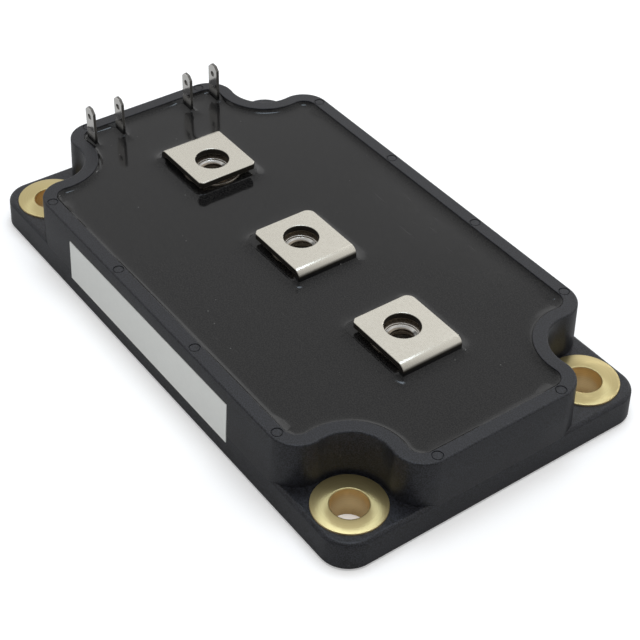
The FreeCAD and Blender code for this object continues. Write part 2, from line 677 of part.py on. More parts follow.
# A signal pin: a flat blade with a hole near its clipped tip, bent into a foot on the ledge.
def make_pin(number, along):
    body = new_body(f"signal_pin_{number}")
    if value(along) > 0:
        body.Placement.Rotation = FreeCAD.Rotation(FreeCAD.Vector(0, 0, 1), 180)
    profile = new_sketch(body, f"pin_profile_{number}", plane="YZ_Plane")
    half = "(pin_thickness / 2)"
    foot = f"({half} + pin_foot_length)"
    polygon(profile, [
        (f"-{half}", "pin_top"),
        (f"-{half}", "ledge_top"),
        (foot, "ledge_top"),
        (foot, "ledge_top + pin_thickness"),
        (half, "ledge_top + pin_thickness"),
        (half, "pin_top"),
    ])
    blade = slab(body, profile, "pin_width")
    half_number = value(half)
    foot_height = value("ledge_top + pin_thickness")
    sole_height = value("ledge_top")
    tip_height = value("pin_top")

    def inner_bend(edge):
        return level(edge, foot_height) and abs(edge.CenterOfMass.y - half_number) < NEARLY

    def outer_bend(edge):
        return level(edge, sole_height) and abs(edge.CenterOfMass.y + half_number) < NEARLY

    def tip_corner(edge):
        return level(edge, tip_height) and edge.BoundBox.XLength < NEARLY

    inside = fillet(body, f"inner_bend_{number}", blade, inner_bend, "pin_bend")
    outside = fillet(body, f"outer_bend_{number}", inside, outer_bend, "pin_bend + pin_thickness / 2")
    tip = chamfer(body, f"tip_corners_{number}", outside, tip_corner, "pin_tip_chamfer")
    eye = new_sketch(body, f"pin_eye_{number}", plane="XZ_Plane")
    circle(eye, "0", "pin_top - pin_hole_drop", "pin_hole_dia")
    body.Tip = pocket(body, eye, None)
    place(body, f"-{PIN_X}", along)
    return body


# One ceramic tile with copper on both faces, soldered to the base plate.
def make_tile(sign, side):
    middle = f"({sign} * {TILE_X})"
    copper_size = (f"2 * {TRACK_END_X}", f"2 * {TRACK_END_Y}", "copper_thickness")
    solder_size = (*copper_size[:2], "tile_solder_thickness")
    left = f"({middle} - {TRACK_END_X})"
    low = f"(-{TRACK_END_Y})"
    solder = box(f"tile_solder_{side}", left, low, "plate_thickness", solder_size)
    back = box(f"back_copper_{side}", left, low, "plate_thickness + tile_solder_thickness", copper_size)
    corner = (f"{middle} - {TILE_LENGTH} / 2", f"-{TILE_WIDTH} / 2", TILE_BOTTOM)
    tile = box(f"ceramic_tile_{side}", *corner, (TILE_LENGTH, TILE_WIDTH, "tile_thickness"))
    return [solder, back, tile, make_tracks(sign, side, middle)]


def track(name, x, y, along_x, along_y):
    """One rectangle of the copper on top of a tile."""
    return box(name, x, y, TRACK_BOTTOM, (along_x, along_y, "copper_thickness"))


def make_tracks(sign, side, middle):
    """The tracks on a tile: emitter, collector and gate, and islands for the pins' wires."""
    low = f"-{TRACK_END_Y}"
    across = f"2 * {TRACK_END_Y}"
    has_islands = sign < 0
    emitter_start = f"(-{TRACK_END_X} + island_width + track_gap)" if has_islands else f"(-{TRACK_END_X})"
    emitter_length = f"-{EMITTER_END} - {emitter_start}"
    emitter = track(f"emitter_track_{side}", f"{middle} + {emitter_start}", low, emitter_length, across)
    collector_start = f"(track_gap - {EMITTER_END})"
    collector_length = f"{TRACK_END_X} - {collector_start}"
    blank = track(f"collector_blank_{side}", f"{middle} + {collector_start}", low, collector_length, across)
    gate_start = f"({middle} + {GATE_X} - gate_track_width / 2)"
    gate_length = f"({chip_rows()[-1]} + switch_chip_size / 2 + gate_track_spare + {TRACK_END_Y})"
    slot_x = f"{gate_start} - gate_track_gap"
    slot_y = f"{low} - gate_track_gap"
    slot_width = "gate_track_width + 2 * gate_track_gap"
    slot_length = f"{gate_length} + 2 * gate_track_gap"
    slot = track(f"collector_slot_{side}", slot_x, slot_y, slot_width, slot_length)
    collector = doc.addObject("Part::Cut", f"collector_track_{side}")
    collector.Base = blank
    collector.Tool = slot
    gate = track(f"gate_track_{side}", gate_start, low, "gate_track_width", gate_length)
    tracks = [emitter, collector, gate]
    if has_islands:
        for number, along in enumerate(foot_rows(), start=1):
            x = f"{middle} - {TRACK_END_X}"
            y = f"{along} - island_length / 2"
            tracks.append(track(f"signal_island_{number}", x, y, "island_width", "island_length"))
    return group(f"copper_tracks_{side}", tracks)


def pin_rows():
    return [f"(-{PIN_FAR_Y})", f"(-{PIN_NEAR_Y})", PIN_NEAR_Y, PIN_FAR_Y]


def foot_rows():
    """The middle of each pin's foot along Y: every foot points towards the module's middle."""
    reach = "(pin_thickness / 2 + pin_foot_length / 2)"
    return [f"({row} {'+' if value(row) < 0 else '-'} {reach})" for row in pin_rows()]


def chip_rows():
    """The middles of the rows along Y: as many rows of chips as the tracks have room for."""
    first = f"chip_edge + switch_chip_size / 2 - {TRACK_END_Y}"
    count = int(value(f"(2 * {TRACK_END_Y} - chip_edge + chip_gap) / {CHIP_PITCH}"))
    return [f"({first} + {step} * {CHIP_PITCH})" for step in range(count)]


# The chips: a transistor and a diode in each row of a tile, each on its own solder.
def make_chips(sign, side):
    middle = f"({sign} * {TILE_X})"
    kinds = (
        ("transistor_chips", "switch_chip_size", SWITCH_X),
        ("diode_chips", "diode_chip_size", f"-{DIODE_X}"),
    )
    pieces = []
    pads = []
    for label, size, offset in kinds:
        chips = []
        for number, row in enumerate(chip_rows(), start=1):
            x = f"{middle} + {offset} - {size} / 2"
            y = f"{row} - {size} / 2"
            chip_size = (size, size, "chip_thickness")
            pad_size = (size, size, "solder_thickness")
            chips.append(box(f"{label}_{side}_{number}", x, y, CHIP_BOTTOM, chip_size))
            pads.append(box(f"pad_{label}_{side}_{number}", x, y, TRACK_TOP, pad_size))
        pieces.append(group(f"{label}_{side}", chips))
    for step, turned in TERMINALS:
        if (step < 0) == (sign < 0):
            pads += foot_pads(step, turned, side)
    pieces.append(group(f"solder_pads_{side}", pads))
    return pieces


def foot_pads(step, turned, side):
    """Solder under the two feet of a terminal, as long as the foot's flat sole."""
    pads = []
    start = "(leg_reach + foot_round)"
    sole = "(foot_length - foot_round)"
    hole = f"{step} * {TERMINAL_PITCH}"
    x = f"{hole} - {start} - {sole}" if turned else f"{hole} + {start}"
    size = (sole, "(tab_width - foot_split) / 2", "solder_thickness")
    for name, y in (("left", "-tab_width / 2"), ("right", "foot_split / 2")):
        pads.append(box(f"foot_pad_{side}_{step + 2}_{name}", x, y, TRACK_TOP, size))
    return pads


def wire_solid(stitches, y):
    """A bond wire in a plane of constant Y: flattened stitches with a raised loop between each two.
    A stitch is its middle along X and the height that it lies on."""
    size = value("wire_size")
    rise = value("wire_rise")
    half_foot = value("wire_foot") / 2
    low = []
    for index, (x, z) in enumerate(stitches):
        low += [(x - half_foot, z), (x + half_foot, z)]
        if index + 1 < len(stitches):
            next_x, next_z = stitches[index + 1]
            span = next_x - x - 2 * half_foot
            crest = (z + next_z) / 2 + rise
            low += [(x + half_foot + span * part, crest - lift * rise) for part, lift in LOOP_SHAPE]
    spots = [FreeCAD.Vector(x, y - size / 2, z) for x, z in low]
    spots += [FreeCAD.Vector(x, y - size / 2, z + size) for x, z in reversed(low)]
    face = Part.Face(Part.makePolygon(spots + spots[:1]))
    return face.extrude(FreeCAD.Vector(0, size, 0))


def wire_group(label, wires):
    piece = doc.addObject("Part::Feature", label)
    piece.Label = label
    piece.Shape = Part.makeCompound([wire_solid(stitches, y) for stitches, y in wires])
    return piece


# The bond wires: from the emitter track over the diode to the transistor, from each transistor to
# the gate track, from tile to tile, and from the pins' feet to their islands.
def make_wires(sign, side):
    middle = sign * value(TILE_X)
    copper = value(TRACK_TOP)
    chip = value(CHIP_TOP)
    first = middle - value(f"{EMITTER_END} + wire_foot")
    diode = middle - value(DIODE_X)
    switch = middle + value(SWITCH_X)
    edge = middle + value(f"{SWITCH_X} + switch_chip_size / 2 - wire_foot / 2")
    gate = middle + value(GATE_X)
    pitch = value("wire_pitch")
    power = []
    control = []
    for row in chip_rows():
        y = value(row)
        for side_step in (-0.5, 0.5):
            power.append((((first, copper), (diode, chip), (switch, chip)), y + side_step * pitch))
        control.append((((edge, chip), (gate, copper)), y + pitch))
    return [wire_group(f"power_wires_{side}", power), wire_group(f"gate_wires_{side}", control)]


def make_links():
    copper = value(TRACK_TOP)
    inside = value("tile_gap / 2 + copper_margin + 2 * wire_foot")
    pitch = value("bridge_pitch")
    bridge = [(((-inside, copper), (inside, copper)), step * pitch) for step in (-3, -2, 2, 3)]
    foot_top = value("ledge_top + pin_thickness")
    foot_x = -value(f"{PIN_X} - pin_width / 2 + wire_foot / 2")
    island_x = -value(f"{TILE_X} + {TRACK_END_X} - island_width + wire_foot / 2")
    signal = [(((foot_x, foot_top), (island_x, copper)), value(row)) for row in foot_rows()]
    return [wire_group("bridge_wires", bridge), wire_group("signal_wires", signal)]


# The two fillings: soft gel over the circuit, and hard potting above it up to just under the rim.
def make_filling(label, low, high, embedded):
    body = new_body(f"{label}_blank")
    outline = new_sketch(body, f"{label}_outline", offset=low)
    cavity_sketch(outline)
    pad(body, outline, f"({high}) - ({low})")
    tool = doc.addObject("Part::MultiFuse", f"{label}_embedded")
    tool.Shapes = embedded
    tool.Refine = False
    filling = doc.addObject("Part::Cut", label)
    filling.Label = label
    filling.Base = body
    filling.Tool = tool
    return filling


def make_block_cores():
    """Solid stand-ins for the terminal blocks, so that no filling runs into the nut pockets."""
    cores = []
    for number, (step, turned) in enumerate(TERMINALS, start=1):
        left, right = block_ends(turned)
        x = f"{step} * {TERMINAL_PITCH} + {left}"
        size = (f"{right} - {left}", "2 * block_half_width", "block_top - bar_bottom")
        cores.append(box(f"block_core_{number}", x, "-block_half_width", "bar_bottom", size))
    return cores


# The label: a thin bare rectangle on the drafted side wall.
def make_label():
    size = ("label_length", "label_thickness", "label_height")
    label = box("label", "label_start", "0", "label_bottom", size)
    slope = "(rim_setback / (rim_top - plate_standoff))"
    lean = math.degrees(math.atan(value(slope)))
    label.Placement.Rotation = FreeCAD.Rotation(FreeCAD.Vector(1, 0, 0), -lean)
    wall_y = f"(width / 2 - {slope} * (label_bottom - plate_standoff))"
    y = f"-{wall_y} - label_thickness * cos({lean})"
    z = f"label_bottom + label_thickness * sin({lean})"
    place(label, "label_start", y, z)
    return label


housing = make_housing()
bushings = [make_bushing(number, *signs) for number, signs in enumerate(corners(), start=1)]
terminals = [make_terminal(number, *kind) for number, kind in enumerate(TERMINALS, start=1)]
nuts = group("terminal_nuts", [make_nut(number, kind[0]) for number, kind in enumerate(TERMINALS, start=1)])
pins = [make_pin(number, along) for number, along in enumerate(pin_rows(), start=1)]
circuit = []
for tile_sign, tile_side in SIDES:
    circuit += make_tile(tile_sign, tile_side)
    circuit += make_chips(tile_sign, tile_side)
    circuit += make_wires(tile_sign, tile_side)
circuit += make_links()
doc.recompute()

walls = [housing, *terminals, *pins]
gel = make_filling("gel_fill", "plate_thickness", "gel_top", [*walls, *circuit, *make_block_cores()])
potting = make_filling("epoxy_cap", "gel_top", "potting_top", [*walls, *make_block_cores()])
base_plate = make_base_plate()
label_piece = make_label()
doc.recompute()

pieces = [base_plate, housing, *bushings, *terminals, nuts, *pins, *circuit, gel, potting, label_piece]

for item in doc.Objects:
    if "Invalid" in item.State or "Error" in item.State:
        raise RuntimeError(f"{item.Name} failed: {item.State}")
for piece in pieces:
    if piece.Shape.isNull() or not piece.Shape.isValid():
        raise RuntimeError(f"{piece.Label} has no valid shape")

os.makedirs("parts", exist_ok=True)
for piece in pieces:
    piece.Shape.exportStep(f"parts/{piece.Label}.step")
    print(f"{piece.Label}: {len(piece.Shape.Solids)} solids, {piece.Shape.Volume:.1f} mm3")
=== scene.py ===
# %% [markdown]
# A half-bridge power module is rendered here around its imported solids. Each cell adds one thing that
# a camera sees: first the stage and the lights, then one finish at a time, then the pieces whose fine
# form is easier to model here than in the solids. All places come from the solids' own boxes, so the
# dressed part can't drift away from them. Lengths are metres, and MM turns millimetres into them.

# %% Load the frame
import json
import math

import bmesh
import bpy
from mathutils import Matrix, Vector
from mathutils.geometry import delaunay_2d_cdt
from mathutils.kdtree import KDTree


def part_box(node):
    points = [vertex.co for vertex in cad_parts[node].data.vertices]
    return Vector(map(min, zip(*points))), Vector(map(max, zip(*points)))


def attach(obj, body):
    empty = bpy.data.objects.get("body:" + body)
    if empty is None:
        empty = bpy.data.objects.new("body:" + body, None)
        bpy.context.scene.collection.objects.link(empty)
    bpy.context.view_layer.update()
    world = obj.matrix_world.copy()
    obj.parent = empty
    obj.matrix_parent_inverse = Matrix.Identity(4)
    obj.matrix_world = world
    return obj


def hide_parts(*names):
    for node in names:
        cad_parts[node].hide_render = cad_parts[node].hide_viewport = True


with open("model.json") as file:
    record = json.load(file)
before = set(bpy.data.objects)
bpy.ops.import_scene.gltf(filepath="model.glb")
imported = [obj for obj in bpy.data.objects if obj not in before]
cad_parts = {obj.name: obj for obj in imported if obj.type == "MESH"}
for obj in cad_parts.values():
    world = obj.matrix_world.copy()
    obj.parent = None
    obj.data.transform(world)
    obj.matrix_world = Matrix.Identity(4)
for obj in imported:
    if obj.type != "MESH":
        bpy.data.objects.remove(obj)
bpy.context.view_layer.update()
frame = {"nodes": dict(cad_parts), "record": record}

MM = 0.001
nodes = frame["nodes"]


def box_of(node_name):
    """The lowest and the highest corner of a solid, in millimetres."""
    return [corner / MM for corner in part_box(node_name)]


print("nodes", len(nodes))

# %% [markdown]
# The camera stands where the photograph was taken from. Its place and turn were worked out from the
# module's known hole pattern. A long lens keeps the module's long sides nearly parallel.

# %% Camera
CAMERA_BACK = Vector((0.60190844, -0.45705554, 0.65483315))
CAMERA_PLACE = Vector((165.190, -120.801, 174.579)) * MM
CAMERA_ROLL = math.radians(1.896)
CAMERA_LENS = 84.95


def put(name, data):
    """Add an object for some data to the scene."""
    thing = bpy.data.objects.new(name, data)
    bpy.context.collection.objects.link(thing)
    return thing


def add_camera():
    data = bpy.data.cameras.new("camera")
    data.lens = CAMERA_LENS
    data.clip_start = 0.01
    camera = put("camera", data)
    back = CAMERA_BACK.normalized()
    level = Vector((0, 0, 1)).cross(back).normalized()
    turn = Matrix.Rotation(CAMERA_ROLL, 3, back)
    axes = Matrix((turn @ level, turn @ back.cross(level), back)).transposed()
    camera.matrix_world = Matrix.Translation(CAMERA_PLACE) @ axes.to_4x4()
    bpy.context.scene.camera = camera
    bpy.context.scene.view_settings.view_transform = "Standard"


add_camera()
print("camera at", [round(number, 4) for number in CAMERA_PLACE])

# %% [markdown]
# Every material, the world and one mesh here are trees of nodes. A node could be set up line by line,
# but a few helpers that add it together with its settings and its inputs keep each tree short, and
# then it reads almost like a formula.

# %% Node kit


def feed(socket, source):
    """Give a socket a link or a plain value."""
    if isinstance(source, bpy.types.NodeSocket):
        socket.id_data.links.new(source, socket)
    else:
        socket.default_value = source


def add_node(tree, kind, inputs, **settings):
    """A node with its settings, and a link or a plain value for each of its named inputs."""
    node = tree.nodes.new(kind)
    for name, setting in settings.items():
        setattr(node, name, setting)
    for name, source in inputs.items():
        feed(node.inputs[name], source)
    return node


def maths(operation, first, second=0.0):
    """A sum in the tree that one of its numbers comes from."""
    tree = next(item.id_data for item in (first, second) if isinstance(item, bpy.types.NodeSocket))
    return add_node(tree, "ShaderNodeMath", {0: first, 1: second}, operation=operation).outputs[0]


def times(first, second):
    return maths("MULTIPLY", first, second)


def ramp(fac, low, high, start=0.0, end=1.0):
    """Turn one span of numbers into another, softly at both ends."""
    span = {"Value": fac, "From Min": low, "From Max": high, "To Min": start, "To Max": end}
    node = add_node(fac.id_data, "ShaderNodeMapRange", span, interpolation_type="SMOOTHSTEP")
    return node.outputs["Result"]


def stretch(fac, start=0.0, end=1.0):
    """A noise keeps near its middle, so that part of it is turned into a whole span."""
    return ramp(fac, 0.3, 0.7, start, end)


def blend(fac, first, second):
    """Mix two colours."""
    node = add_node(fac.id_data, "ShaderNodeMix", {"Factor": fac}, data_type="RGBA")
    for name, source in (("A_Color", first), ("B_Color", second)):
        socket = next(item for item in node.inputs if item.identifier == name)
        feed(socket, (*source, 1) if isinstance(source, tuple) else source)
    return next(item for item in node.outputs if item.identifier == "Result_Color")


def ray_kind(tree, *kinds):
    """1 where the ray is of one of the named kinds."""
    path = tree.nodes.new("ShaderNodeLightPath")
    total = 0.0
    for kind in kinds:
        total = maths("MAXIMUM", path.outputs[kind], total)
    return total


def take_numbers(tree, numbers):
    """Give a tree named numbers that are set from outside, each with its usual value."""
    for label, number in numbers.items():
        socket = tree.interface.new_socket(label, in_out="INPUT", socket_type="NodeSocketFloat")
        socket.default_value = number


print("node kit ready")

# %% [markdown]
# The stage is a white studio. The world lights the object softly from all round, and a camera ray
# that leaves the scene sees plain white. A mirror ray sees one side of the room brighter than the
# other, which gives the metal its shape. The floor is matt and nearly white, so that only the
# object's own soft shadow shows on it. Far out it is lifted to plain white, to leave no horizon.

# %% Stage
WORLD_FILL = 0.62
WORLD_MIRRORED = 0.82
WORLD_DIM = 0.3
WORLD_SEEN = 1.0
BRIGHT_SIDE = (-0.6, 0.8, 0)
BRIGHT_FROM = -0.75
BRIGHT_TO = 0.35
FLOOR_TINT = (0.92, 0.92, 0.92)
FLOOR_MIRRORED = (0.45, 0.45, 0.45)
FLOOR_LIFT = 0.24
FLOOR_LIFT_FAR = 0.55
FLOOR_NEAR = 0.3
FLOOR_FAR = 1.0
FLOOR_REACH = 3.0


def add_world():
    world = bpy.data.worlds.new("studio")
    world.use_nodes = True
    tree = world.node_tree
    tree.nodes.clear()
    direction = tree.nodes.new("ShaderNodeTexCoord").outputs["Generated"]
    sides = {0: direction, 1: BRIGHT_SIDE}
    towards = add_node(tree, "ShaderNodeVectorMath", sides, operation="DOT_PRODUCT").outputs["Value"]
    tent = ramp(towards, BRIGHT_FROM, BRIGHT_TO, WORLD_DIM, WORLD_MIRRORED)
    lit = ramp(ray_kind(tree, "Is Glossy Ray"), 0.0, 1.0, WORLD_FILL, tent)
    seen = ray_kind(tree, "Is Camera Ray", "Is Transmission Ray")
    strength = ramp(seen, 0.0, 1.0, lit, WORLD_SEEN)
    sky = add_node(tree, "ShaderNodeBackground", {"Color": (1, 1, 1, 1), "Strength": strength})
    add_node(tree, "ShaderNodeOutputWorld", {"Surface": sky.outputs[0]})
    bpy.context.scene.world = world


def add_floor():
    mesh = bpy.data.meshes.new("floor")
    far = FLOOR_REACH
    mesh.from_pydata([(-far, -far, 0), (far, -far, 0), (far, far, 0), (-far, far, 0)], [], [(0, 1, 2, 3)])
    material = bpy.data.materials.new("floor_white")
    material.use_nodes = True
    tree = material.node_tree
    tree.nodes.clear()
    tint = blend(ray_kind(tree, "Is Glossy Ray"), FLOOR_TINT, FLOOR_MIRRORED)
    matt = add_node(tree, "ShaderNodeBsdfDiffuse", {"Color": tint})
    place = tree.nodes.new("ShaderNodeTexCoord").outputs["Object"]
    away = add_node(tree, "ShaderNodeVectorMath", {0: place}, operation="LENGTH").outputs["Value"]
    near = {"Value": away, "From Min": FLOOR_NEAR, "From Max": FLOOR_FAR}
    lifts = {"To Min": FLOOR_LIFT, "To Max": FLOOR_LIFT_FAR}
    rise = add_node(tree, "ShaderNodeMapRange", {**near, **lifts}).outputs["Result"]
    lift = times(ray_kind(tree, "Is Camera Ray"), rise)
    glow = add_node(tree, "ShaderNodeEmission", {"Strength": lift})
    both = add_node(tree, "ShaderNodeAddShader", {0: matt.outputs[0], 1: glow.outputs[0]})
    add_node(tree, "ShaderNodeOutputMaterial", {"Surface": both.outputs[0]})
    mesh.materials.append(material)
    put("floor", mesh)


add_world()
add_floor()
print("stage ready")

# %% [markdown]
# Four lamps. A wide soft one overhead gives the floor its level and the object its gentle shadow. A
# wide weak one behind the object lies mirrored in the far half of its top. A small cool one near the
# zenith hardly lights anything by itself, but every polished curve shows it as a bluish glint. A
# smaller one low behind the object puts a white dot on the wet corners that face it.

# %% Lamps


def add_lamp(name, direction, distance, width, power, colour=(1, 1, 1)):
    data = bpy.data.lights.new(name, "AREA")
    data.shape = "DISK"
    data.size = width
    data.energy = power
    data.color = colour
    lamp = put(name, data)
    towards = Vector(direction).normalized()
    lamp.location = towards * distance
    lamp.rotation_euler = towards.to_track_quat("Z", "Y").to_euler()
    return lamp


overhead = add_lamp("overhead", (0.10, 0.05, 1.0), 0.8, 0.6, 1.8)
overhead.visible_glossy = False
add_lamp("window", (-0.55, 0.70, 0.45), 0.9, 0.36, 0.16)
add_lamp("glint", (-0.16, 0.16, 0.97), 0.8, 0.26, 0.9, (0.72, 0.86, 1.0))
add_lamp("doorway", (-0.20, 0.84, 0.50), 0.8, 0.08, 0.13)
print("lamps", len(bpy.data.lights))

# %% [markdown]
# Shared effects. Fine grain, specks of dust and rubbed spots come up on several finishes. Each is a
# node group that gives only a mask or a height, and every material mixes it in its own way.

# %% Shared shader groups


def new_group(name, inputs, outputs):
    """A shader group that takes a place and some numbers, and gives masks or heights."""
    tree = bpy.data.node_groups.new(name, "ShaderNodeTree")
    tree.interface.new_socket("Vector", in_out="INPUT", socket_type="NodeSocketVector")
    take_numbers(tree, inputs)
    for label in outputs:
        tree.interface.new_socket(label, in_out="OUTPUT", socket_type="NodeSocketFloat")
    source = tree.nodes.new("NodeGroupInput")
    return tree, source.outputs, tree.nodes.new("NodeGroupOutput").inputs


def noise(place, scale, detail=2.0, rough=0.5):
    inputs = {"Vector": place, "Scale": scale, "Detail": detail, "Roughness": rough}
    return add_node(place.id_data, "ShaderNodeTexNoise", inputs).outputs["Fac"]


def make_dust_group():
    """Small pale specks, gathered in uneven patches."""
    tree, source, result = new_group("dust_specks", {"Amount": 0.5}, ["Mask"])
    cells = add_node(tree, "ShaderNodeTexVoronoi", {"Vector": source["Vector"], "Scale": 620.0}).outputs
    speck = ramp(cells["Distance"], 0.05, 0.1, 1.0, 0.0)
    chosen = add_node(tree, "ShaderNodeSeparateColor", {"Color": cells["Color"]})
    rare = ramp(chosen.outputs["Red"], 0.85, 0.9)
    patches = ramp(noise(source["Vector"], 60.0), 0.35, 0.7)
    amount = times(patches, source["Amount"])
    feed(result["Mask"], times(times(speck, rare), amount))
    return tree


def make_grain_group():
    """The uneven height of a moulded or cast surface, broad patches of another tone, and flecks."""
    tree, source, result = new_group("surface_grain", {"Scale": 3000.0}, ["Height", "Patches", "Speckle"])
    place = source["Vector"]
    feed(result["Height"], noise(place, source["Scale"], 3.0, 0.6))
    feed(result["Patches"], noise(place, 45.0, 3.0, 0.55))
    feed(result["Speckle"], stretch(noise(place, 4800.0, 0.0)))
    return tree


def make_scuff_group():
    """Faint scuffs: long thin marks that cross each other in places."""
    tree, source, result = new_group("handling_scuffs", {"Amount": 0.5}, ["Mask"])
    masks = []
    for turn, thinning in ((0.35, (1, 14, 3)), (1.3, (1, 18, 3))):
        turned = {"Vector": source["Vector"], "Rotation": (0, 0, turn), "Scale": thinning}
        place = add_node(tree, "ShaderNodeMapping", turned).outputs["Vector"]
        masks.append(ramp(noise(place, 160.0, 1.0), 0.74, 0.8))
    where = ramp(noise(source["Vector"], 35.0), 0.5, 0.65)
    marks = times(maths("MAXIMUM", *masks), where)
    feed(result["Mask"], times(marks, source["Amount"]))
    return tree


DUST = make_dust_group()
GRAIN = make_grain_group()
SCUFFS = make_scuff_group()
print("groups", len(bpy.data.node_groups))

# %% [markdown]
# The black housing is filled plastic, and the potting is cast resin. Both are nearly black by
# themselves: most of what the eye sees is the room's light on their skin. So how rough they are and
# how evenly they shine matters more than their colour. Each finish is a Principled shader whose
# colour, roughness and relief come from the groups above. It reads Object coordinates, which stay
# with the piece from every side.

# %% Black plastic and resin
DEEP_BLACK = (0.002, 0.002, 0.0028)
SOFT_BLACK = (0.005, 0.005, 0.0054)
RUBBED = (0.06, 0.06, 0.058)
DUSTY = (0.22, 0.22, 0.21)
FINISHES = {}


def effect(group, place, **numbers):
    """Place a shared group in a material, with its own numbers."""
    return add_node(place.id_data, "ShaderNodeGroup", {"Vector": place, **numbers}, node_tree=group).outputs


def start_material(name, roughness, grain_scale, metallic=0.0, specular=0.5):
    """A new finish's shader, the coordinates of its piece, and the grain that its skin has."""
    material = bpy.data.materials.new(name)
    material.use_nodes = True
    FINISHES[name] = material
    shader = material.node_tree.nodes["Principled BSDF"]
    shader.inputs["Roughness"].default_value = roughness
    shader.inputs["Metallic"].default_value = metallic
    shader.inputs["Specular IOR Level"].default_value = specular
    spots = material.node_tree.nodes.new("ShaderNodeTexCoord").outputs
    return shader, spots, effect(GRAIN, spots["Object"], Scale=grain_scale)


def coat(shader, colour, gloss, grain, depth):
    """Give a shader its colour, its uneven gloss and the fine relief of its skin."""
    skin = {"Height": grain["Height"], "Distance": depth, "Strength": 1.0}
    relief = add_node(shader.id_data, "ShaderNodeBump", skin)
    feed(shader.inputs["Base Color"], colour)
    feed(shader.inputs["Roughness"], gloss)
    feed(shader.inputs["Normal"], relief.outputs["Normal"])


def make_black(name, gloss, specular, grain_scale, grain_depth, dust_amount, scuff_amount, fleck):
    shader, spots, grain = start_material(name, sum(gloss) / 2, grain_scale, specular=specular)
    dust = effect(DUST, spots["Object"], Amount=dust_amount)["Mask"]
    scuffs = effect(SCUFFS, spots["Object"], Amount=scuff_amount)["Mask"]
    tone = blend(grain["Patches"], DEEP_BLACK, SOFT_BLACK)
    tone = blend(grain["Speckle"], tone, fleck)
    tone = blend(scuffs, tone, RUBBED)
    tone = blend(dust, tone, DUSTY)
    dulled = maths("ADD", stretch(grain["Patches"], *gloss), times(scuffs, 0.15))
    coat(shader, tone, dulled, grain, grain_depth)


make_black("housing_plastic", (0.36, 0.44), 0.42, 4200.0, 0.012 * MM, 0.25, 0.6, (0.020, 0.021, 0.027))
make_black("potting_resin", (0.08, 0.14), 0.33, 650.0, 0.010 * MM, 0.45, 0.25, (0.016, 0.0155, 0.015))
print("black finishes", list(FINISHES))

# %% [markdown]
# Metals. Nickel plating on a stamped strip is satin and slightly mottled, and brass that was turned
# on a lathe keeps fine rings. The rings follow the piece's own UV map, where one axis runs along the
# turned profile. Light is painted into some of these colours: the brass bore's upright wall is
# painted brighter, the nickel's cut faces are darker partly by painted shade, and below a height the
# nickel is painted black as shade. A steel nut has a painted highlight on the chamfers of its mouth
# and a dark brownish painted shade on the rest.

# %% Metals
# Painted shade: below these heights the tabs' legs and the pins are painted black, with a ragged edge, for
# the shade and dark reflections that lie there.
TAB_SHADE_TOP = 14.85 * MM
PIN_SHADE_TOP = 15.7 * MM
SHADE_RAGGED = 0.3 * MM
# The cut faces' dark tone: partly their own, partly painted shade.
SHEARED_AND_SHADED = (0.025, 0.021, 0.016)
SHADE_BLACK = (0.006, 0.006, 0.006)
PALE_SPECK = (0.6, 0.6, 0.6)
# Painted light on the nut: a bright painted highlight above these heights, painted brown shade below.
NUT_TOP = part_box("terminal_nuts")[1].z / MM
NUT_SHADE_LOW = (NUT_TOP - 0.55) * MM
NUT_SHADE_HIGH = (NUT_TOP - 0.4) * MM


def part_of(vector, axis):
    """One of a vector's three numbers."""
    return add_node(vector.id_data, "ShaderNodeSeparateXYZ", {"Vector": vector}).outputs[axis]


def mottle(grain, share):
    """Fine grain and broad patches in one mask."""
    return maths("ADD", times(stretch(grain["Height"]), share), times(grain["Patches"], 1 - share))


def make_metal(name, dark, light, gloss, grain_scale, grain_depth, metallic=1.0):
    """A plated or rolled metal: two close tones in patches, uneven gloss and a fine skin."""
    shader, _, grain = start_material(name, sum(gloss) / 2, grain_scale, metallic)
    mixed = mottle(grain, 0.35)
    coat(shader, blend(mixed, dark, light), stretch(mixed, *gloss), grain, grain_depth)


def make_turned_brass():
    """Fine lathe grooves spread every reflection across themselves, which gives the bright sector."""
    shader, spots, grain = start_material("bushing_brass", 0.3, 5200.0, 0.85)
    tree = shader.id_data
    tone = blend(grain["Patches"], (0.55, 0.46, 0.22), (0.66, 0.56, 0.29))
    # Painted light: upright faces such as the bore's wall get a brighter golden tone, as if lit from below
    # through the hole.
    upright = maths("ABSOLUTE", part_of(spots["Normal"], "Z"))
    tone = blend(ramp(upright, 0.2, 0.6, 1.0, 0.0), tone, (0.98, 0.76, 0.42))
    outwards = part_of(tree.nodes.new("ShaderNodeUVMap").outputs["UV"], "Y")
    grooves = {"W": outwards, "Scale": 7.0, "Detail": 1.0}
    lathe = add_node(tree, "ShaderNodeTexNoise", grooves, noise_dimensions="1D").outputs["Fac"]
    tone = blend(times(stretch(lathe), 0.25), tone, (0.50, 0.36, 0.14))
    coat(shader, tone, stretch(grain["Patches"], 0.27, 0.35), grain, 0.004 * MM)
    shader.inputs["Anisotropic"].default_value = 0.9
    turned = add_node(tree, "ShaderNodeTangent", {}, direction_type="UV_MAP")
    feed(shader.inputs["Tangent"], turned.outputs["Tangent"])


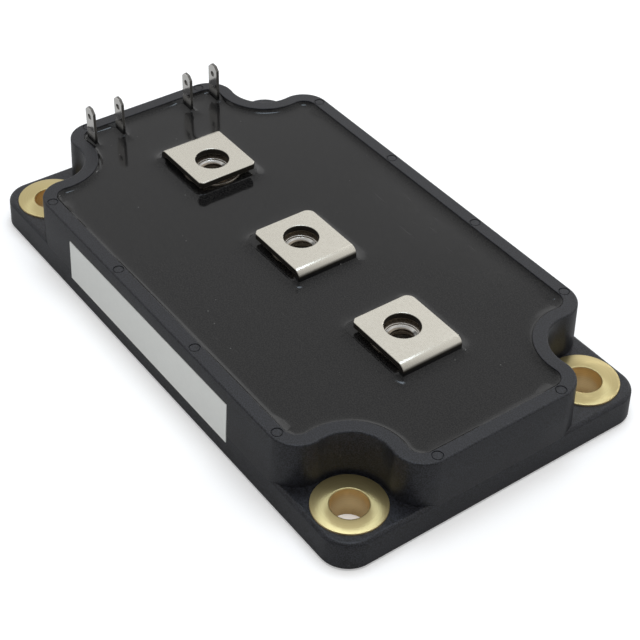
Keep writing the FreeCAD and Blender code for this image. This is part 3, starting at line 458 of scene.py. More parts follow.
def make_nickel(name, dark, light, gloss, flat_axis, shear_and_shade, shade_top, shade_fade):
    """Satin nickel; cut faces dark, partly their own and partly painted shade; painted black below a
    height.
    """
    shader, spots, grain = start_material(name, sum(gloss) / 2, 2400.0, 1.0)
    dust = effect(DUST, spots["Object"], Amount=0.8)["Mask"]
    flat = maths("ABSOLUTE", part_of(spots["Normal"], flat_axis))
    # Cut faces, which don't face along the flat axis, are darkened: partly their own tone, partly painted
    # shade.
    sheared_and_shaded = ramp(flat, 0.15, 0.6, shear_and_shade, 0.0)
    # Painted shade: below a ragged height the metal turns glossy black and not metallic, standing for the
    # shade and dark reflections under the tabs and on the pins' lower part.
    uneven = times(grain["Patches"], SHADE_RAGGED)
    level = maths("ADD", part_of(spots["Object"], "Z"), uneven)
    resin = ramp(level, shade_top - shade_fade, shade_top + shade_fade, 1.0, 0.0)
    mottled = mottle(grain, 0.4)
    tone = blend(mottled, dark, light)
    tone = blend(sheared_and_shaded, tone, SHEARED_AND_SHADED)
    tone = blend(resin, tone, SHADE_BLACK)
    tone = blend(times(dust, resin), tone, PALE_SPECK)
    rough = maths("ADD", stretch(mottled, *gloss), times(sheared_and_shaded, 0.25))
    coat(shader, tone, maths("SUBTRACT", rough, times(resin, 0.2)), grain, 0.0035 * MM)
    bare = maths("SUBTRACT", 1.0, times(sheared_and_shaded, 0.5))
    feed(shader.inputs["Metallic"], maths("SUBTRACT", bare, times(resin, bare)))


def make_nut_steel():
    """A painted highlight on the chamfers of its mouth; the rest is a dark brownish painted shade."""
    shader, spots, grain = start_material("nut_steel", 0.2, 2600.0, 0.8)
    upward = part_of(spots["Normal"], "Z")
    # Painted highlight: the chamfers facing up at a slant, high in the mouth, get the bright tone;
    # elsewhere a brownish painted shade.
    lit_chamfer = times(ramp(upward, 0.3, 0.5), ramp(upward, 0.88, 0.97, 1.0, 0.0))
    above = ramp(part_of(spots["Object"], "Z"), NUT_SHADE_LOW, NUT_SHADE_HIGH)
    nut_shade = maths("SUBTRACT", 1.0, times(lit_chamfer, above))
    face = blend(grain["Patches"], (0.74, 0.72, 0.68), (0.88, 0.87, 0.84))
    shade_brown = blend(grain["Height"], (0.20, 0.16, 0.12), (0.52, 0.46, 0.38))
    coat(shader, blend(nut_shade, face, shade_brown), stretch(grain["Patches"], 0.16, 0.26), grain, 0.006 * MM)


make_nickel(
    "terminal_nickel", (0.66, 0.63, 0.555), (0.72, 0.69, 0.61), (0.26, 0.31), "Z", 1.0, TAB_SHADE_TOP, 0.02 * MM
)
make_nickel(
    "pin_nickel", (0.80, 0.78, 0.74), (0.92, 0.90, 0.86), (0.10, 0.18), "Y", 0.85, PIN_SHADE_TOP, 1.3 * MM
)
make_nut_steel()
make_metal("plate_nickel", (0.48, 0.46, 0.42), (0.58, 0.56, 0.51), (0.34, 0.48), 900.0, 0.015 * MM)
make_metal("label_foil", (0.80, 0.81, 0.78), (0.86, 0.87, 0.84), (0.4, 0.5), 900.0, 0.008 * MM, 0.4)
make_metal("bare_copper", (0.66, 0.33, 0.20), (0.76, 0.42, 0.28), (0.30, 0.42), 1200.0, 0.01 * MM)
make_metal("solder", (0.38, 0.38, 0.37), (0.52, 0.52, 0.51), (0.35, 0.50), 1500.0, 0.02 * MM)
make_metal("wire_aluminium", (0.7, 0.7, 0.7), (0.82, 0.82, 0.82), (0.25, 0.35), 2600.0, 0.006 * MM)
make_turned_brass()
print("finishes so far", len(FINISHES))

# %% [markdown]
# The hidden circuit gets its real finishes too, since the parts may be shown taken apart: white
# ceramic, dark polished silicon and a clear, slightly cloudy gel.

# %% Circuit finishes


def make_matt(name, dark, light, gloss, depth, transmission=0.0):
    """A smooth stuff in two close tones, which can let light through."""
    shader, _, grain = start_material(name, sum(gloss) / 2, 1500.0)
    shader.inputs["Transmission Weight"].default_value = transmission
    coat(shader, blend(grain["Patches"], dark, light), stretch(grain["Patches"], *gloss), grain, depth)


make_matt("tile_ceramic", (0.74, 0.74, 0.70), (0.82, 0.82, 0.79), (0.45, 0.6), 0.008 * MM)
make_matt("chip_silicon", (0.055, 0.06, 0.075), (0.085, 0.09, 0.105), (0.08, 0.16), 0.002 * MM)
make_matt("soft_gel", (0.80, 0.82, 0.80), (0.88, 0.89, 0.87), (0.08, 0.14), 0.004 * MM, transmission=0.9)
SLOT_OF = {part["node"]: part["material_slot"] for part in frame["record"]["subparts"]}
for node_name, slot_name in SLOT_OF.items():
    thing = nodes[node_name]
    thing.data.materials.clear()
    thing.data.materials.append(FINISHES[slot_name])
print("finished nodes", len(SLOT_OF))

# %% [markdown]
# A kit for meshes. The housing, the potting and the nuts are closed shells built from rings: loops of
# points at one height, joined by strips of faces, with flat fills where a face has holes in it.
# A flat fill is a constrained triangulation, which keeps every hole's edge exactly.

# %% Mesh kit
SMOOTH_LIMIT = math.radians(32)
THIN_AREA = 1e-10
SAME_POINT = 1e-8


def add_ring(bm, points, height):
    return [bm.verts.new((x * MM, y * MM, height * MM)) for x, y in points]


def join_rings(bm, lower, upper):
    count = len(lower)
    for i in range(count):
        after = (i + 1) % count
        bm.faces.new((lower[i], lower[after], upper[after], upper[i]))


def join_all(bm, rings):
    for lower, upper in zip(rings, rings[1:]):
        join_rings(bm, lower, upper)
    return rings


def sharp_edges(bm, limit):
    return [edge for edge in bm.edges if len(edge.link_faces) == 2 and edge.calc_face_angle(0) > limit]


def inside(spot, loop):
    """Whether a point lies inside a closed loop of points."""
    found = False
    before = loop[-1]
    for here in loop:
        if (here.y > spot.y) != (before.y > spot.y):
            cross = (before.x - here.x) * (spot.y - here.y) / (before.y - here.y) + here.x
            if spot.x < cross:
                found = not found
        before = here
    return found


def fill_flat(bm, outer, holes=(), extra=()):
    """Fill the flat space between a ring and the rings inside it; extra points make it denser."""
    rings = (outer, *holes)
    owners = [vert for ring in rings for vert in ring]
    flat = [vert.co.xy for vert in owners] + [Vector(spot) * MM for spot in extra]
    height = outer[0].co.z
    edges = []
    start = 0
    for ring in rings:
        edges += [(start + i, start + (i + 1) % len(ring)) for i in range(len(ring))]
        start += len(ring)
    spots, _, faces, origins, _, _ = delaunay_2d_cdt(flat, edges, [], 0, SAME_POINT)
    loops = [[vert.co.xy for vert in ring] for ring in rings]
    border = {frozenset((owners[here], owners[there])) for here, there in edges}
    made = {}
    fresh = []
    slivers = []
    for face in faces:
        first, second, third = (spots[index] for index in face)
        centre = (first + second + third) / 3
        thin = abs((second - first).cross(third - first)) < THIN_AREA
        if not thin and (not inside(centre, loops[0]) or any(inside(centre, loop) for loop in loops[1:])):
            continue
        for index in face:
            if index not in made:
                origin = origins[index]
                known = origin and origin[0] < len(owners)
                made[index] = owners[origin[0]] if known else bm.verts.new((*spots[index], height))
        fresh.append(bm.faces.new([made[index] for index in face]))
        if thin:
            slivers.append(fresh[-1])
    while any(drop_stray(bm, face, border) for face in slivers if face.is_valid):
        pass
    return [face for face in fresh if face.is_valid]


def drop_stray(bm, face, border):
    """Remove a sliver that lies outside the fill: one of its edges is neither shared nor on a ring."""
    stray = any(len(edge.link_faces) == 1 and frozenset(edge.verts) not in border for edge in face.edges)
    if stray:
        sides = list(face.edges)
        bm.faces.remove(face)
        for edge in sides:
            if not edge.link_faces and frozenset(edge.verts) not in border:
                bm.edges.remove(edge)
    return stray


def make_piece(bm, name, node_name):
    """Turn a built mesh into a piece that rides with the body and takes a node's place and slot."""
    open_edges = sum(1 for edge in bm.edges if len(edge.link_faces) != 2)
    mesh = bpy.data.meshes.new(name)
    bm.to_mesh(mesh)
    bm.free()
    mesh.materials.append(FINISHES[SLOT_OF[node_name]])
    piece = put(name, mesh)
    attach(piece, "root")
    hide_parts(node_name)
    print(name, len(mesh.polygons), "faces,", open_edges, "open edges")


def finish_mesh(bm, name, node_name, flat_faces=()):
    """Make a piece of a built shell, smooth where it is round and crisp where it turns."""
    for edge in {edge for face in flat_faces if face.is_valid for edge in face.edges}:
        if any(other not in flat_faces for other in edge.link_faces):
            edge.smooth = False
    bmesh.ops.recalc_face_normals(bm, faces=bm.faces)
    for face in bm.faces:
        face.smooth = True
    for edge in sharp_edges(bm, SMOOTH_LIMIT):
        edge.smooth = False
    make_piece(bm, name, node_name)


print("mesh kit ready")

# %% [markdown]
# The module's outline. Every corner has a hollow arc about its mounting hole, which runs smoothly
# into the sides through two round shoulders. Written as a function of its inset, the same outline
# gives the drafted outer wall, the rim, the cavity and the resin's edge, always with as many points,
# so that any two of them can be joined by a strip.

# %% Outlines
box_low, box_high = box_of("housing_frame")
HALF_LONG = box_high.x
HALF_SHORT = box_high.y
RIM_TOP = box_high.z
SKIRT_BOTTOM = box_low.z
bushing_low, bushing_high = box_of("mounting_bushing_4")
HOLE_X, HOLE_Y = ((bushing_low + bushing_high) / 2).xy
RIM_SETBACK = 0.5
RIM_WIDTH = 2.5
NOTCH_RADIUS = 6.8
SHOULDER_RADIUS = 5.0
EAR_RADIUS = 5.0
SHOULDER_X = HALF_LONG - RIM_SETBACK - SHOULDER_RADIUS
SHOULDER_Y = HALF_SHORT - RIM_SETBACK - SHOULDER_RADIUS
NOTCH_REACH = NOTCH_RADIUS + SHOULDER_RADIUS
SHORT_SHOULDER = (SHOULDER_X, HOLE_Y - math.sqrt(NOTCH_REACH**2 - (SHOULDER_X - HOLE_X) ** 2))
LONG_SHOULDER = (HOLE_X - math.sqrt(NOTCH_REACH**2 - (SHOULDER_Y - HOLE_Y) ** 2), SHOULDER_Y)
CORNERS = ((1, 1), (-1, 1), (-1, -1), (1, -1))
ARC_STEPS = 22
CIRCLE_STEPS = 72
SIDE_STEPS = (16, 7)


def arc_points(centre, radius, start, end, steps=ARC_STEPS):
    turns = [start + (end - start) * i / steps for i in range(steps + 1)]
    return [(centre[0] + radius * math.cos(turn), centre[1] + radius * math.sin(turn)) for turn in turns]


def round_all(quarter):
    """Mirror the points of one corner to all four, and add points along the straight sides."""
    corners = []
    for sign_x, sign_y in CORNERS:
        points = [(sign_x * x, sign_y * y) for x, y in quarter]
        corners.append(points if sign_x == sign_y else points[::-1])
    loop = []
    for index, points in enumerate(corners):
        loop += points
        start = Vector(points[-1])
        end = Vector(corners[(index + 1) % 4][0])
        steps = SIDE_STEPS[index % 2]
        loop += [tuple(start.lerp(end, i / steps)) for i in range(1, steps)]
    return loop


def tub_outline(inset):
    """The notched outline, inset from the rim's outer edge; a negative inset lies outside it."""
    bend = SHOULDER_RADIUS - inset
    to_short = math.atan2(SHORT_SHOULDER[1] - HOLE_Y, SHORT_SHOULDER[0] - HOLE_X)
    to_long = math.atan2(LONG_SHOULDER[1] - HOLE_Y, LONG_SHOULDER[0] - HOLE_X)
    quarter = arc_points(SHORT_SHOULDER, bend, 0, to_short + math.pi)
    quarter += arc_points((HOLE_X, HOLE_Y), NOTCH_RADIUS + inset, to_short, to_long - 2 * math.pi)[1:]
    quarter += arc_points(LONG_SHOULDER, bend, to_long - math.pi, math.pi / 2)[1:]
    return round_all(quarter)


def ear_outline(inset):
    """The rounded rectangle of the flange, inset from its lower edge."""
    bend = EAR_RADIUS - inset
    centre = (HALF_LONG - EAR_RADIUS, HALF_SHORT - EAR_RADIUS)
    return round_all(arc_points(centre, bend, 0, math.pi / 2))


def rounded_box(left, right, low, high, radius, steps=6):
    """A rectangle with round corners, anticlockwise."""
    inner = ((right - radius, high - radius), (left + radius, high - radius),
             (left + radius, low + radius), (right - radius, low + radius))
    loop = []
    for turn, centre in enumerate(inner):
        start = turn * math.pi / 2
        loop += arc_points(centre, radius, start, start + math.pi / 2, steps)
    return loop


def circle_points(x, y, radius, steps=CIRCLE_STEPS):
    return arc_points((x, y), radius, 0, 2 * math.pi, steps)[:-1]


def turned_rings(bm, x, y, profile, steps=CIRCLE_STEPS):
    """A ring for every radius and height of a profile, about an upright axis."""
    return [add_ring(bm, circle_points(x, y, radius, steps), height) for radius, height in profile]


print("outline points", len(tub_outline(0)), "hole at", round(HOLE_X, 2), round(HOLE_Y, 2))

# %% [markdown]
# The housing is one moulding: a flange whose four ears hold the bushings, and a notched tub that
# stands on it. Both are drafted so that they leave their mould. The flange is a closed shell of its
# own here and the tub another that starts just inside it, so their joint is as crisp as on the part.
# A wide round runs along the ears' upper edge and a small one along the rim.

# %% Housing: flange
EAR_TOP = 5.5
EAR_ROUND = 0.72
RECESS_INSET = 2.0
PLATE_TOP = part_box("base_plate")[1].z / MM
COLLAR_RADIUS = 6.05
COLLAR_GAP = 0.03
SEAT_FLOOR = 4.7
BARREL_RADIUS = 4.8
SEAT_PROFILE = (
    (COLLAR_RADIUS + COLLAR_GAP, EAR_TOP),
    (COLLAR_RADIUS + COLLAR_GAP, SEAT_FLOOR),
    (BARREL_RADIUS, SEAT_FLOOR),
    (BARREL_RADIUS, PLATE_TOP),
)


def draft(height):
    """How far the outer wall has come in at a height."""
    return RIM_SETBACK * (height - SKIRT_BOTTOM) / (RIM_TOP - SKIRT_BOTTOM)


def rounding(radius, steps=8):
    """Inset and drop of the points round an edge, from the wall up to the flat."""
    turns = [math.pi / 2 * i / steps for i in range(steps + 1)]
    return [(radius * (1 - math.cos(turn)), radius * (1 - math.sin(turn))) for turn in turns]


def build_flange(bm):
    skirt = add_ring(bm, ear_outline(0), SKIRT_BOTTOM)
    outer = [skirt]
    side_top = draft(EAR_TOP - EAR_ROUND)
    for inset, drop in rounding(EAR_ROUND):
        outer.append(add_ring(bm, ear_outline(side_top + inset), EAR_TOP - drop))
    join_all(bm, outer)
    seats = []
    barrels = []
    for sign_x, sign_y in CORNERS:
        rings = join_all(bm, turned_rings(bm, sign_x * HOLE_X, sign_y * HOLE_Y, SEAT_PROFILE))
        seats.append(rings[0])
        barrels.append(rings[-1])
    cavity_top = add_ring(bm, tub_outline(RIM_WIDTH), EAR_TOP)
    cavity_low = add_ring(bm, tub_outline(RIM_WIDTH), PLATE_TOP)
    join_rings(bm, cavity_top, cavity_low)
    flats = fill_flat(bm, outer[-1], [cavity_top, *seats])
    recess = add_ring(bm, ear_outline(RECESS_INSET), PLATE_TOP)
    recess_low = add_ring(bm, ear_outline(RECESS_INSET), SKIRT_BOTTOM)
    flats += fill_flat(bm, recess, [cavity_low, *barrels])
    join_all(bm, [recess, recess_low, skirt])
    return flats


shell = bmesh.new()
flat_faces = set(build_flange(shell))
print("flange", len(shell.faces), "faces")

# %% [markdown]
# The tub's rim carries twelve round ejector marks, where pins pushed the moulding out of its mould:
# shallow discs with a fine groove around them. They are real recesses in the rim's flat top.

# %% Housing: tub and ejector marks
RIM_ROUND = 0.32
RIM_INNER_ROUND = 0.12
TUB_FOOT = EAR_TOP - EAR_ROUND
MARK_RADIUS = 0.98
MARK_GROOVE = ((0.0, 0.0), (0.06, 0.16), (0.13, 0.16), (0.2, 0.05))
MARK_PROFILE = [(MARK_RADIUS - inset, RIM_TOP - depth) for inset, depth in MARK_GROOVE]
MARK_STEPS = 28
MARK_INSET = 1.345
MARK_PITCH = 23.8
WALL_BOTTOM = 4.0
FOOT_TUCK = 0.3
CAVITY_DRAFT = 0.02


def mark_places():
    """Two marks in the middle of each long side, and one at every end of a straight side."""
    far = HALF_LONG - RIM_SETBACK - MARK_INSET
    high = HALF_SHORT - RIM_SETBACK - MARK_INSET
    corner = ((MARK_PITCH / 2, high), (LONG_SHOULDER[0], high), (far, SHORT_SHOULDER[1]))
    return [(sign_x * x, sign_y * y) for sign_x, sign_y in CORNERS for x, y in corner]


def build_tub(bm):
    flats = []
    foot = add_ring(bm, tub_outline(draft(WALL_BOTTOM) - RIM_SETBACK + FOOT_TUCK), WALL_BOTTOM)
    outer = [foot, add_ring(bm, tub_outline(draft(TUB_FOOT) - RIM_SETBACK), TUB_FOOT)]
    side_top = draft(RIM_TOP - RIM_ROUND) - RIM_SETBACK
    for inset, drop in rounding(RIM_ROUND):
        outer.append(add_ring(bm, tub_outline(side_top + inset), RIM_TOP - drop))
    join_all(bm, outer)
    inner = []
    for inset, drop in reversed(rounding(RIM_INNER_ROUND, 3)):
        inner.append(add_ring(bm, tub_outline(RIM_WIDTH - inset), RIM_TOP - drop))
    inner.append(add_ring(bm, tub_outline(RIM_WIDTH + CAVITY_DRAFT), WALL_BOTTOM))
    join_all(bm, inner)
    join_rings(bm, inner[-1], foot)
    marks = []
    for x, y in mark_places():
        rings = join_all(bm, turned_rings(bm, x, y, MARK_PROFILE, MARK_STEPS))
        marks.append(rings[0])
        flats += fill_flat(bm, rings[-1])
    flats += fill_flat(bm, outer[-1], [inner[0], *marks])
    return flats


flat_faces |= set(build_tub(shell))
print("flange and tub", len(shell.faces), "faces")

# %% [markdown]
# Each terminal sits on a block of the housing that holds its nut. The block ends just above the
# resin's level, and the resin covers it as a thin film. Through the tab's hole one sees the nut in
# a round seat. The block could be left out under the film, but the seat's wall shows from low down.

# %% Housing: terminal blocks
TERMINAL_SIDES = {"power_terminal_1": -1, "power_terminal_2": 1, "power_terminal_3": 1}
TAB_HALF = 6.0
LEG_REACH = 7.9
FOOT_REACH = 2.2
STRIP = 1.2
BLOCK_TOP = 13.75
BLOCK_LOW = 10.0
BLOCK_HALF = 6.7
BLOCK_FRONT = 7.5
BLOCK_FRONT_FIRST = 5.8
BLOCK_COVER_FIRST = 1.4
BLOCK_ROUND = 0.2
BLOCK_CORNER = 1.7
NUT_FLANGE_RADIUS = 5.4
NUT_SEAT = NUT_TOP - 1.0
NUT_WELL_RADIUS = 4.3
NUT_POCKET = (
    (NUT_FLANGE_RADIUS + 0.1, BLOCK_TOP),
    (NUT_FLANGE_RADIUS + 0.1, NUT_SEAT),
    (NUT_WELL_RADIUS, NUT_SEAT),
    (NUT_WELL_RADIUS, BLOCK_LOW),
)


def terminal_middle(node_name, side):
    """The hole's place along X: the foot's end is a known reach away from it."""
    low, high = box_of(node_name)
    foot = LEG_REACH + FOOT_REACH
    return high.x - foot if side > 0 else low.x + foot


TERMINALS = [(side, terminal_middle(node_name, side)) for node_name, side in TERMINAL_SIDES.items()]


def block_span(side, middle):
    if side < 0:
        return middle - LEG_REACH - BLOCK_COVER_FIRST, middle + BLOCK_FRONT_FIRST
    return middle - BLOCK_FRONT, middle + LEG_REACH


def build_blocks(bm):
    flats = []
    for side, middle in TERMINALS:
        left, right = block_span(side, middle)
        rings = [add_ring(bm, rounded_box(left, right, -BLOCK_HALF, BLOCK_HALF, BLOCK_CORNER), BLOCK_LOW)]
        for inset, drop in rounding(BLOCK_ROUND, 4):
            sides = (left + inset, right - inset, inset - BLOCK_HALF, BLOCK_HALF - inset)
            rings.append(add_ring(bm, rounded_box(*sides, BLOCK_CORNER - inset), BLOCK_TOP - drop))
        join_all(bm, rings)
        walls = join_all(bm, turned_rings(bm, middle, 0, NUT_POCKET))
        flats += fill_flat(bm, rings[-1], [walls[0]])
        flats += fill_flat(bm, rings[0], [walls[-1]])
    return flats


flat_faces |= set(build_blocks(shell))
finish_mesh(shell, "housing_moulding", "housing_frame", flat_faces)
print("terminals at", [round(middle, 2) for _, middle in TERMINALS])

# %% [markdown]
# The potting was poured as a liquid. It lies level in the middle and climbs a little up every wall,
# leg and pin before it sets, which gives the soft bright lines along its edges. Over a block it
# lies as a film with round shoulders. The height could be painted by hand, but each of these is a
# simple function of a distance, so the surface is worked out from distances alone.

# %% Potting: how high the resin stands
POTTING_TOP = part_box("epoxy_cap")[1].z / MM
FILM_THICK = 0.03
FILM_HEIGHT = BLOCK_TOP + FILM_THICK - POTTING_TOP
FILM_SHOULDER = 0.3
FILM_DROP = 0.18
FILM_REACH = 0.9
WALL_CLIMB = 0.62
WALL_REACH = 0.42
STEM_CLIMB = 0.42
STEM_REACH = 0.36
PIN_HALF = 0.3
PIN_HALF_WIDTH = 1.4
SLOT_CORNER = 0.05
EDGE_SPACING = 0.06
PINS = [f"signal_pin_{number}" for number in range(1, 5)]


def dense(loop, spacing=EDGE_SPACING):
    """More points along a loop, evenly spread."""
    points = []
    for here, there in zip(loop, loop[1:] + loop[:1]):
        start, end = Vector(here), Vector(there)
        steps = max(1, math.ceil((end - start).length / spacing))
        points += [start.lerp(end, i / steps) for i in range(steps)]
    return points


def box_distance(x, y, left, right, low, high, radius):
    """Distance to a rounded rectangle, negative inside it."""
    across = abs(x - (left + right) / 2) - (right - left) / 2 + radius
    along = abs(y - (low + high) / 2) - (high - low) / 2 + radius
    return math.hypot(max(across, 0), max(along, 0)) + min(max(across, along), 0) - radius


def block_distance(x, y):
    spans = (block_span(*terminal) for terminal in TERMINALS)
    return min(box_distance(x, y, *span, -BLOCK_HALF, BLOCK_HALF, BLOCK_CORNER) for span in spans)


def block_film(distance):
    """The resin over a block, as a share of its height: a rounded shoulder that runs out in a curve."""
    if distance <= -FILM_SHOULDER:
        return 1.0
    if distance <= 0:
        return 1 - FILM_DROP * (1 + distance / FILM_SHOULDER) ** 2
    return (1 - FILM_DROP) * math.exp(-distance / FILM_REACH)


def leg_sides(side, middle, spare=0.0):
    """The slot that a leg passes through the resin in."""
    faces = (middle + side * (LEG_REACH - STRIP), middle + side * LEG_REACH)
    return min(faces) - spare, max(faces) + spare, -TAB_HALF - spare, TAB_HALF + spare


def pin_sides(x, y, spare=0.0):
    across, along = PIN_HALF_WIDTH + spare, PIN_HALF + spare
    return x - across, x + across, y - along, y + along


def pin_place(node_name):
    """A pin's blade: the middle of its box along X, and the side of its box away from the foot."""
    low, high = box_of(node_name)
    y = high.y - PIN_HALF if high.y > 0 else low.y + PIN_HALF
    return (low.x + high.x) / 2, y


def nearest_point(loops):
    """A search tree over closely spaced points of some loops."""
    spots = [spot for loop in loops for spot in dense(loop)]
    tree = KDTree(len(spots))
    for index, spot in enumerate(spots):
        tree.insert((spot.x, spot.y, 0), index)
    tree.balance()
    return tree


PIN_PLACES = [pin_place(node_name) for node_name in PINS]
RESIN_WALL = tub_outline(RIM_WIDTH + CAVITY_DRAFT)
SLOTS = [rounded_box(*leg_sides(*terminal), SLOT_CORNER, 2) for terminal in TERMINALS]
SLOTS += [rounded_box(*pin_sides(*place), SLOT_CORNER, 2) for place in PIN_PLACES]
WALLS = nearest_point([RESIN_WALL])
STEMS = nearest_point(SLOTS)


def resin_lift(x, y):
    """How far the resin stands above its level at a place."""
    wall = WALL_CLIMB * math.exp(-WALLS.find((x, y, 0))[2] / WALL_REACH)
    stem = STEM_CLIMB * math.exp(-STEMS.find((x, y, 0))[2] / STEM_REACH)
    return wall + stem + FILM_HEIGHT * block_film(block_distance(x, y))


print("pins at", [(round(x, 2), round(y, 2)) for x, y in PIN_PLACES])

# %% [markdown]
# The resin is a closed body: a top, the same points again underneath, and strips around the outside
# and around every hole. The top is a flat fill with rings of points that crowd towards the edges,
# and each point is then lifted. A grid alone would need far more faces for the same soft edges.

# %% Potting: surface
POTTING_LOW = 12.4
CLIMB_STEPS = (0.08, 0.17, 0.28, 0.42, 0.6, 0.85, 1.2, 1.7, 2.4, 3.3)
FILM_STEPS = (-0.6, -0.3, -0.2, -0.1, 0.0, 0.08, 0.2, 0.35, 0.55, 0.8, 1.1, 1.5, 2.0, 2.7)
LEG_STEPS = (0.08, 0.16, 0.26, 0.4)
WELL_RADIUS = NUT_FLANGE_RADIUS + 0.16
WELL_SPARE = 0.06
SLOT_SPARE = 0.04
GRID_PITCH = 2.2
GRID_INSET = 4.2
FILM_SPACING = 0.6
LEG_SPACING = 0.5
PIN_SPACING = 0.3
FILM_UNDER = 0.005
FILM_BORDER = 0.01


def film_points():
    """Points that make the resin's surface dense where it curves."""
    spots = []
    for step in CLIMB_STEPS:
        spots += tub_outline(RIM_WIDTH + step)
    for side, middle in TERMINALS:
        left, right = block_span(side, middle)
        for step in FILM_STEPS:
            sides = (left - step, right + step, -BLOCK_HALF - step, BLOCK_HALF + step)
            spots += dense(rounded_box(*sides, max(BLOCK_CORNER + step, 0.1), 8), FILM_SPACING)
        for step in LEG_STEPS:
            spots += dense(rounded_box(*leg_sides(side, middle, step), step, 3), LEG_SPACING)
    for x, y in PIN_PLACES:
        for step in LEG_STEPS:
            spots += dense(rounded_box(*pin_sides(x, y, step), step, 3), PIN_SPACING)
    border = [Vector(spot) for spot in tub_outline(RIM_WIDTH + GRID_INSET)]
    counts = (int(half / GRID_PITCH) for half in (HALF_LONG, HALF_SHORT))
    columns, rows = (range(-count, count + 1) for count in counts)
    grid = [Vector((i * GRID_PITCH, j * GRID_PITCH)) for i in columns for j in rows]
    spots += [spot for spot in grid if inside(spot, border)]
    return spots


def clear_of_holes(x, y):
    """Whether a point keeps away from every well and slot."""
    for side, middle in TERMINALS:
        if math.hypot(x - middle, y) < WELL_RADIUS + WELL_SPARE:
            return False
        if box_distance(x, y, *leg_sides(side, middle), 0.02) < SLOT_SPARE:
            return False
    return all(box_distance(x, y, *pin_sides(*place), 0.02) > SLOT_SPARE for place in PIN_PLACES)


def build_potting():
    bm = bmesh.new()
    wells = [circle_points(middle, 0, WELL_RADIUS) for _, middle in TERMINALS]
    outer = add_ring(bm, RESIN_WALL, POTTING_TOP)
    holes = [add_ring(bm, loop, POTTING_TOP) for loop in SLOTS + wells]
    extra = [tuple(spot) for spot in film_points() if clear_of_holes(*spot)]
    top = fill_flat(bm, outer, holes, extra)
    under = {}
    for vert in {vert for face in top for vert in face.verts}:
        x, y = vert.co.x / MM, vert.co.y / MM
        floor = BLOCK_TOP + FILM_UNDER if block_distance(x, y) < FILM_BORDER else POTTING_LOW
        under[vert] = bm.verts.new((vert.co.x, vert.co.y, floor * MM))
        vert.co.z = (POTTING_TOP + resin_lift(x, y)) * MM
    for face in top:
        bm.faces.new([under[vert] for vert in reversed(face.verts)])
    for ring in (outer, *holes):
        join_rings(bm, ring, [under[vert] for vert in ring])
    finish_mesh(bm, "potting", "epoxy_cap")


build_potting()

# %% [markdown]
# The bushings are turned brass. A closed profile is spun about each mounting hole, with a small
# round on the collar's outer edge and a round lip at the bore's mouth. Its UV map unrolls the
# profile, so that the finish can follow the marks of the lathe.

# %% Bushings
BORE_RADIUS = 3.04
SPIGOT_RADIUS = 3.18
COLLAR_TOP = bushing_high.z
MOUTH = 0.26
MOUTH_DEPTH = 0.7
EDGE = 0.08
CLEAR = 0.02
BUSHING_PROFILE = (
    (BORE_RADIUS, 0.05),
    (SPIGOT_RADIUS, 0.05),
    (SPIGOT_RADIUS, PLATE_TOP + CLEAR),
    (BARREL_RADIUS - CLEAR, PLATE_TOP + CLEAR),
    (BARREL_RADIUS - CLEAR, SEAT_FLOOR + CLEAR / 2),
    (COLLAR_RADIUS, SEAT_FLOOR + CLEAR / 2),
    (COLLAR_RADIUS, COLLAR_TOP - EDGE),
    (COLLAR_RADIUS - 0.3 * EDGE, COLLAR_TOP - 0.3 * EDGE),
    (COLLAR_RADIUS - EDGE, COLLAR_TOP),
    *((BORE_RADIUS + drop, COLLAR_TOP - MOUTH_DEPTH * inset) for inset, drop in rounding(MOUTH, 5)),
)


def turn_bushing(name, node_name, x, y, steps=96):
    """Spin the closed profile about an upright axis, with its length as UV."""
    bm = bmesh.new()
    rings = turned_rings(bm, x, y, BUSHING_PROFILE, steps)
    lengths = [0.0]
    for (r0, z0), (r1, z1) in zip(BUSHING_PROFILE, BUSHING_PROFILE[1:] + BUSHING_PROFILE[:1]):
        lengths.append(lengths[-1] + math.hypot(r1 - r0, z1 - z0))
    layer = bm.loops.layers.uv.new("turned")
    for index, ring in enumerate(rings):
        after = rings[(index + 1) % len(rings)]
        for i in range(steps):
            j = (i + 1) % steps
            face = bm.faces.new((ring[i], ring[j], after[j], after[i]))
            spots = ((i, index), (i + 1, index), (i + 1, index + 1), (i, index + 1))
            for loop, (turn, level) in zip(face.loops, spots):
                loop[layer].uv = (turn / steps, lengths[level])
    finish_mesh(bm, name, node_name)


for number in range(1, 5):
    node_name = f"mounting_bushing_{number}"
    low, high = box_of(node_name)
    middle = ((low + high) / 2).xy
    turn_bushing(f"turned_bushing_{number}", node_name, *middle)

# %% [markdown]
# The power terminals and pins already have their true form in the solids. A stamped and plated edge
# is never sharp, though, and a thin bevel catches the light. So each is a copy of its solid with the
# loose triangles merged, the flat faces cleaned and a small bevel along every edge.

# %% Terminals and pins
BEVEL_LIMIT = math.radians(30)
FLAT_LIMIT = math.radians(1)
MERGE_REACH = 1e-6
TAB_BEVEL = 0.12 * MM
PIN_BEVEL = 0.07 * MM
PIN_EXTRA = 0.75 * MM
TAB_ROUND = 1.5
TAB_CLIP = 0.7


def clip_corner(bm, end, side):
    """Turn the round of one corner of a tab into the short straight clip that the strip has there."""
    straight, slant = TAB_ROUND - TAB_CLIP, TAB_CLIP * math.sqrt(2)
    for vert in bm.verts:
        x, y, z = vert.co / MM
        across = abs(x - end)
        along = TAB_HALF + side * y
        if z < RIM_TOP or across > TAB_ROUND or along > TAB_ROUND:
            continue
        turn = math.atan2(TAB_ROUND - along, TAB_ROUND - across) / (math.pi / 2)
        path = turn * (2 * straight + slant)
        first = min(path, straight)
        second = min(max(path - first, 0), slant) / math.sqrt(2)
        third = max(path - first - second * math.sqrt(2), 0)
        vert.co.x = (end + side * (second + third)) * MM
        vert.co.y = side * (TAB_ROUND - first - second - TAB_HALF) * MM


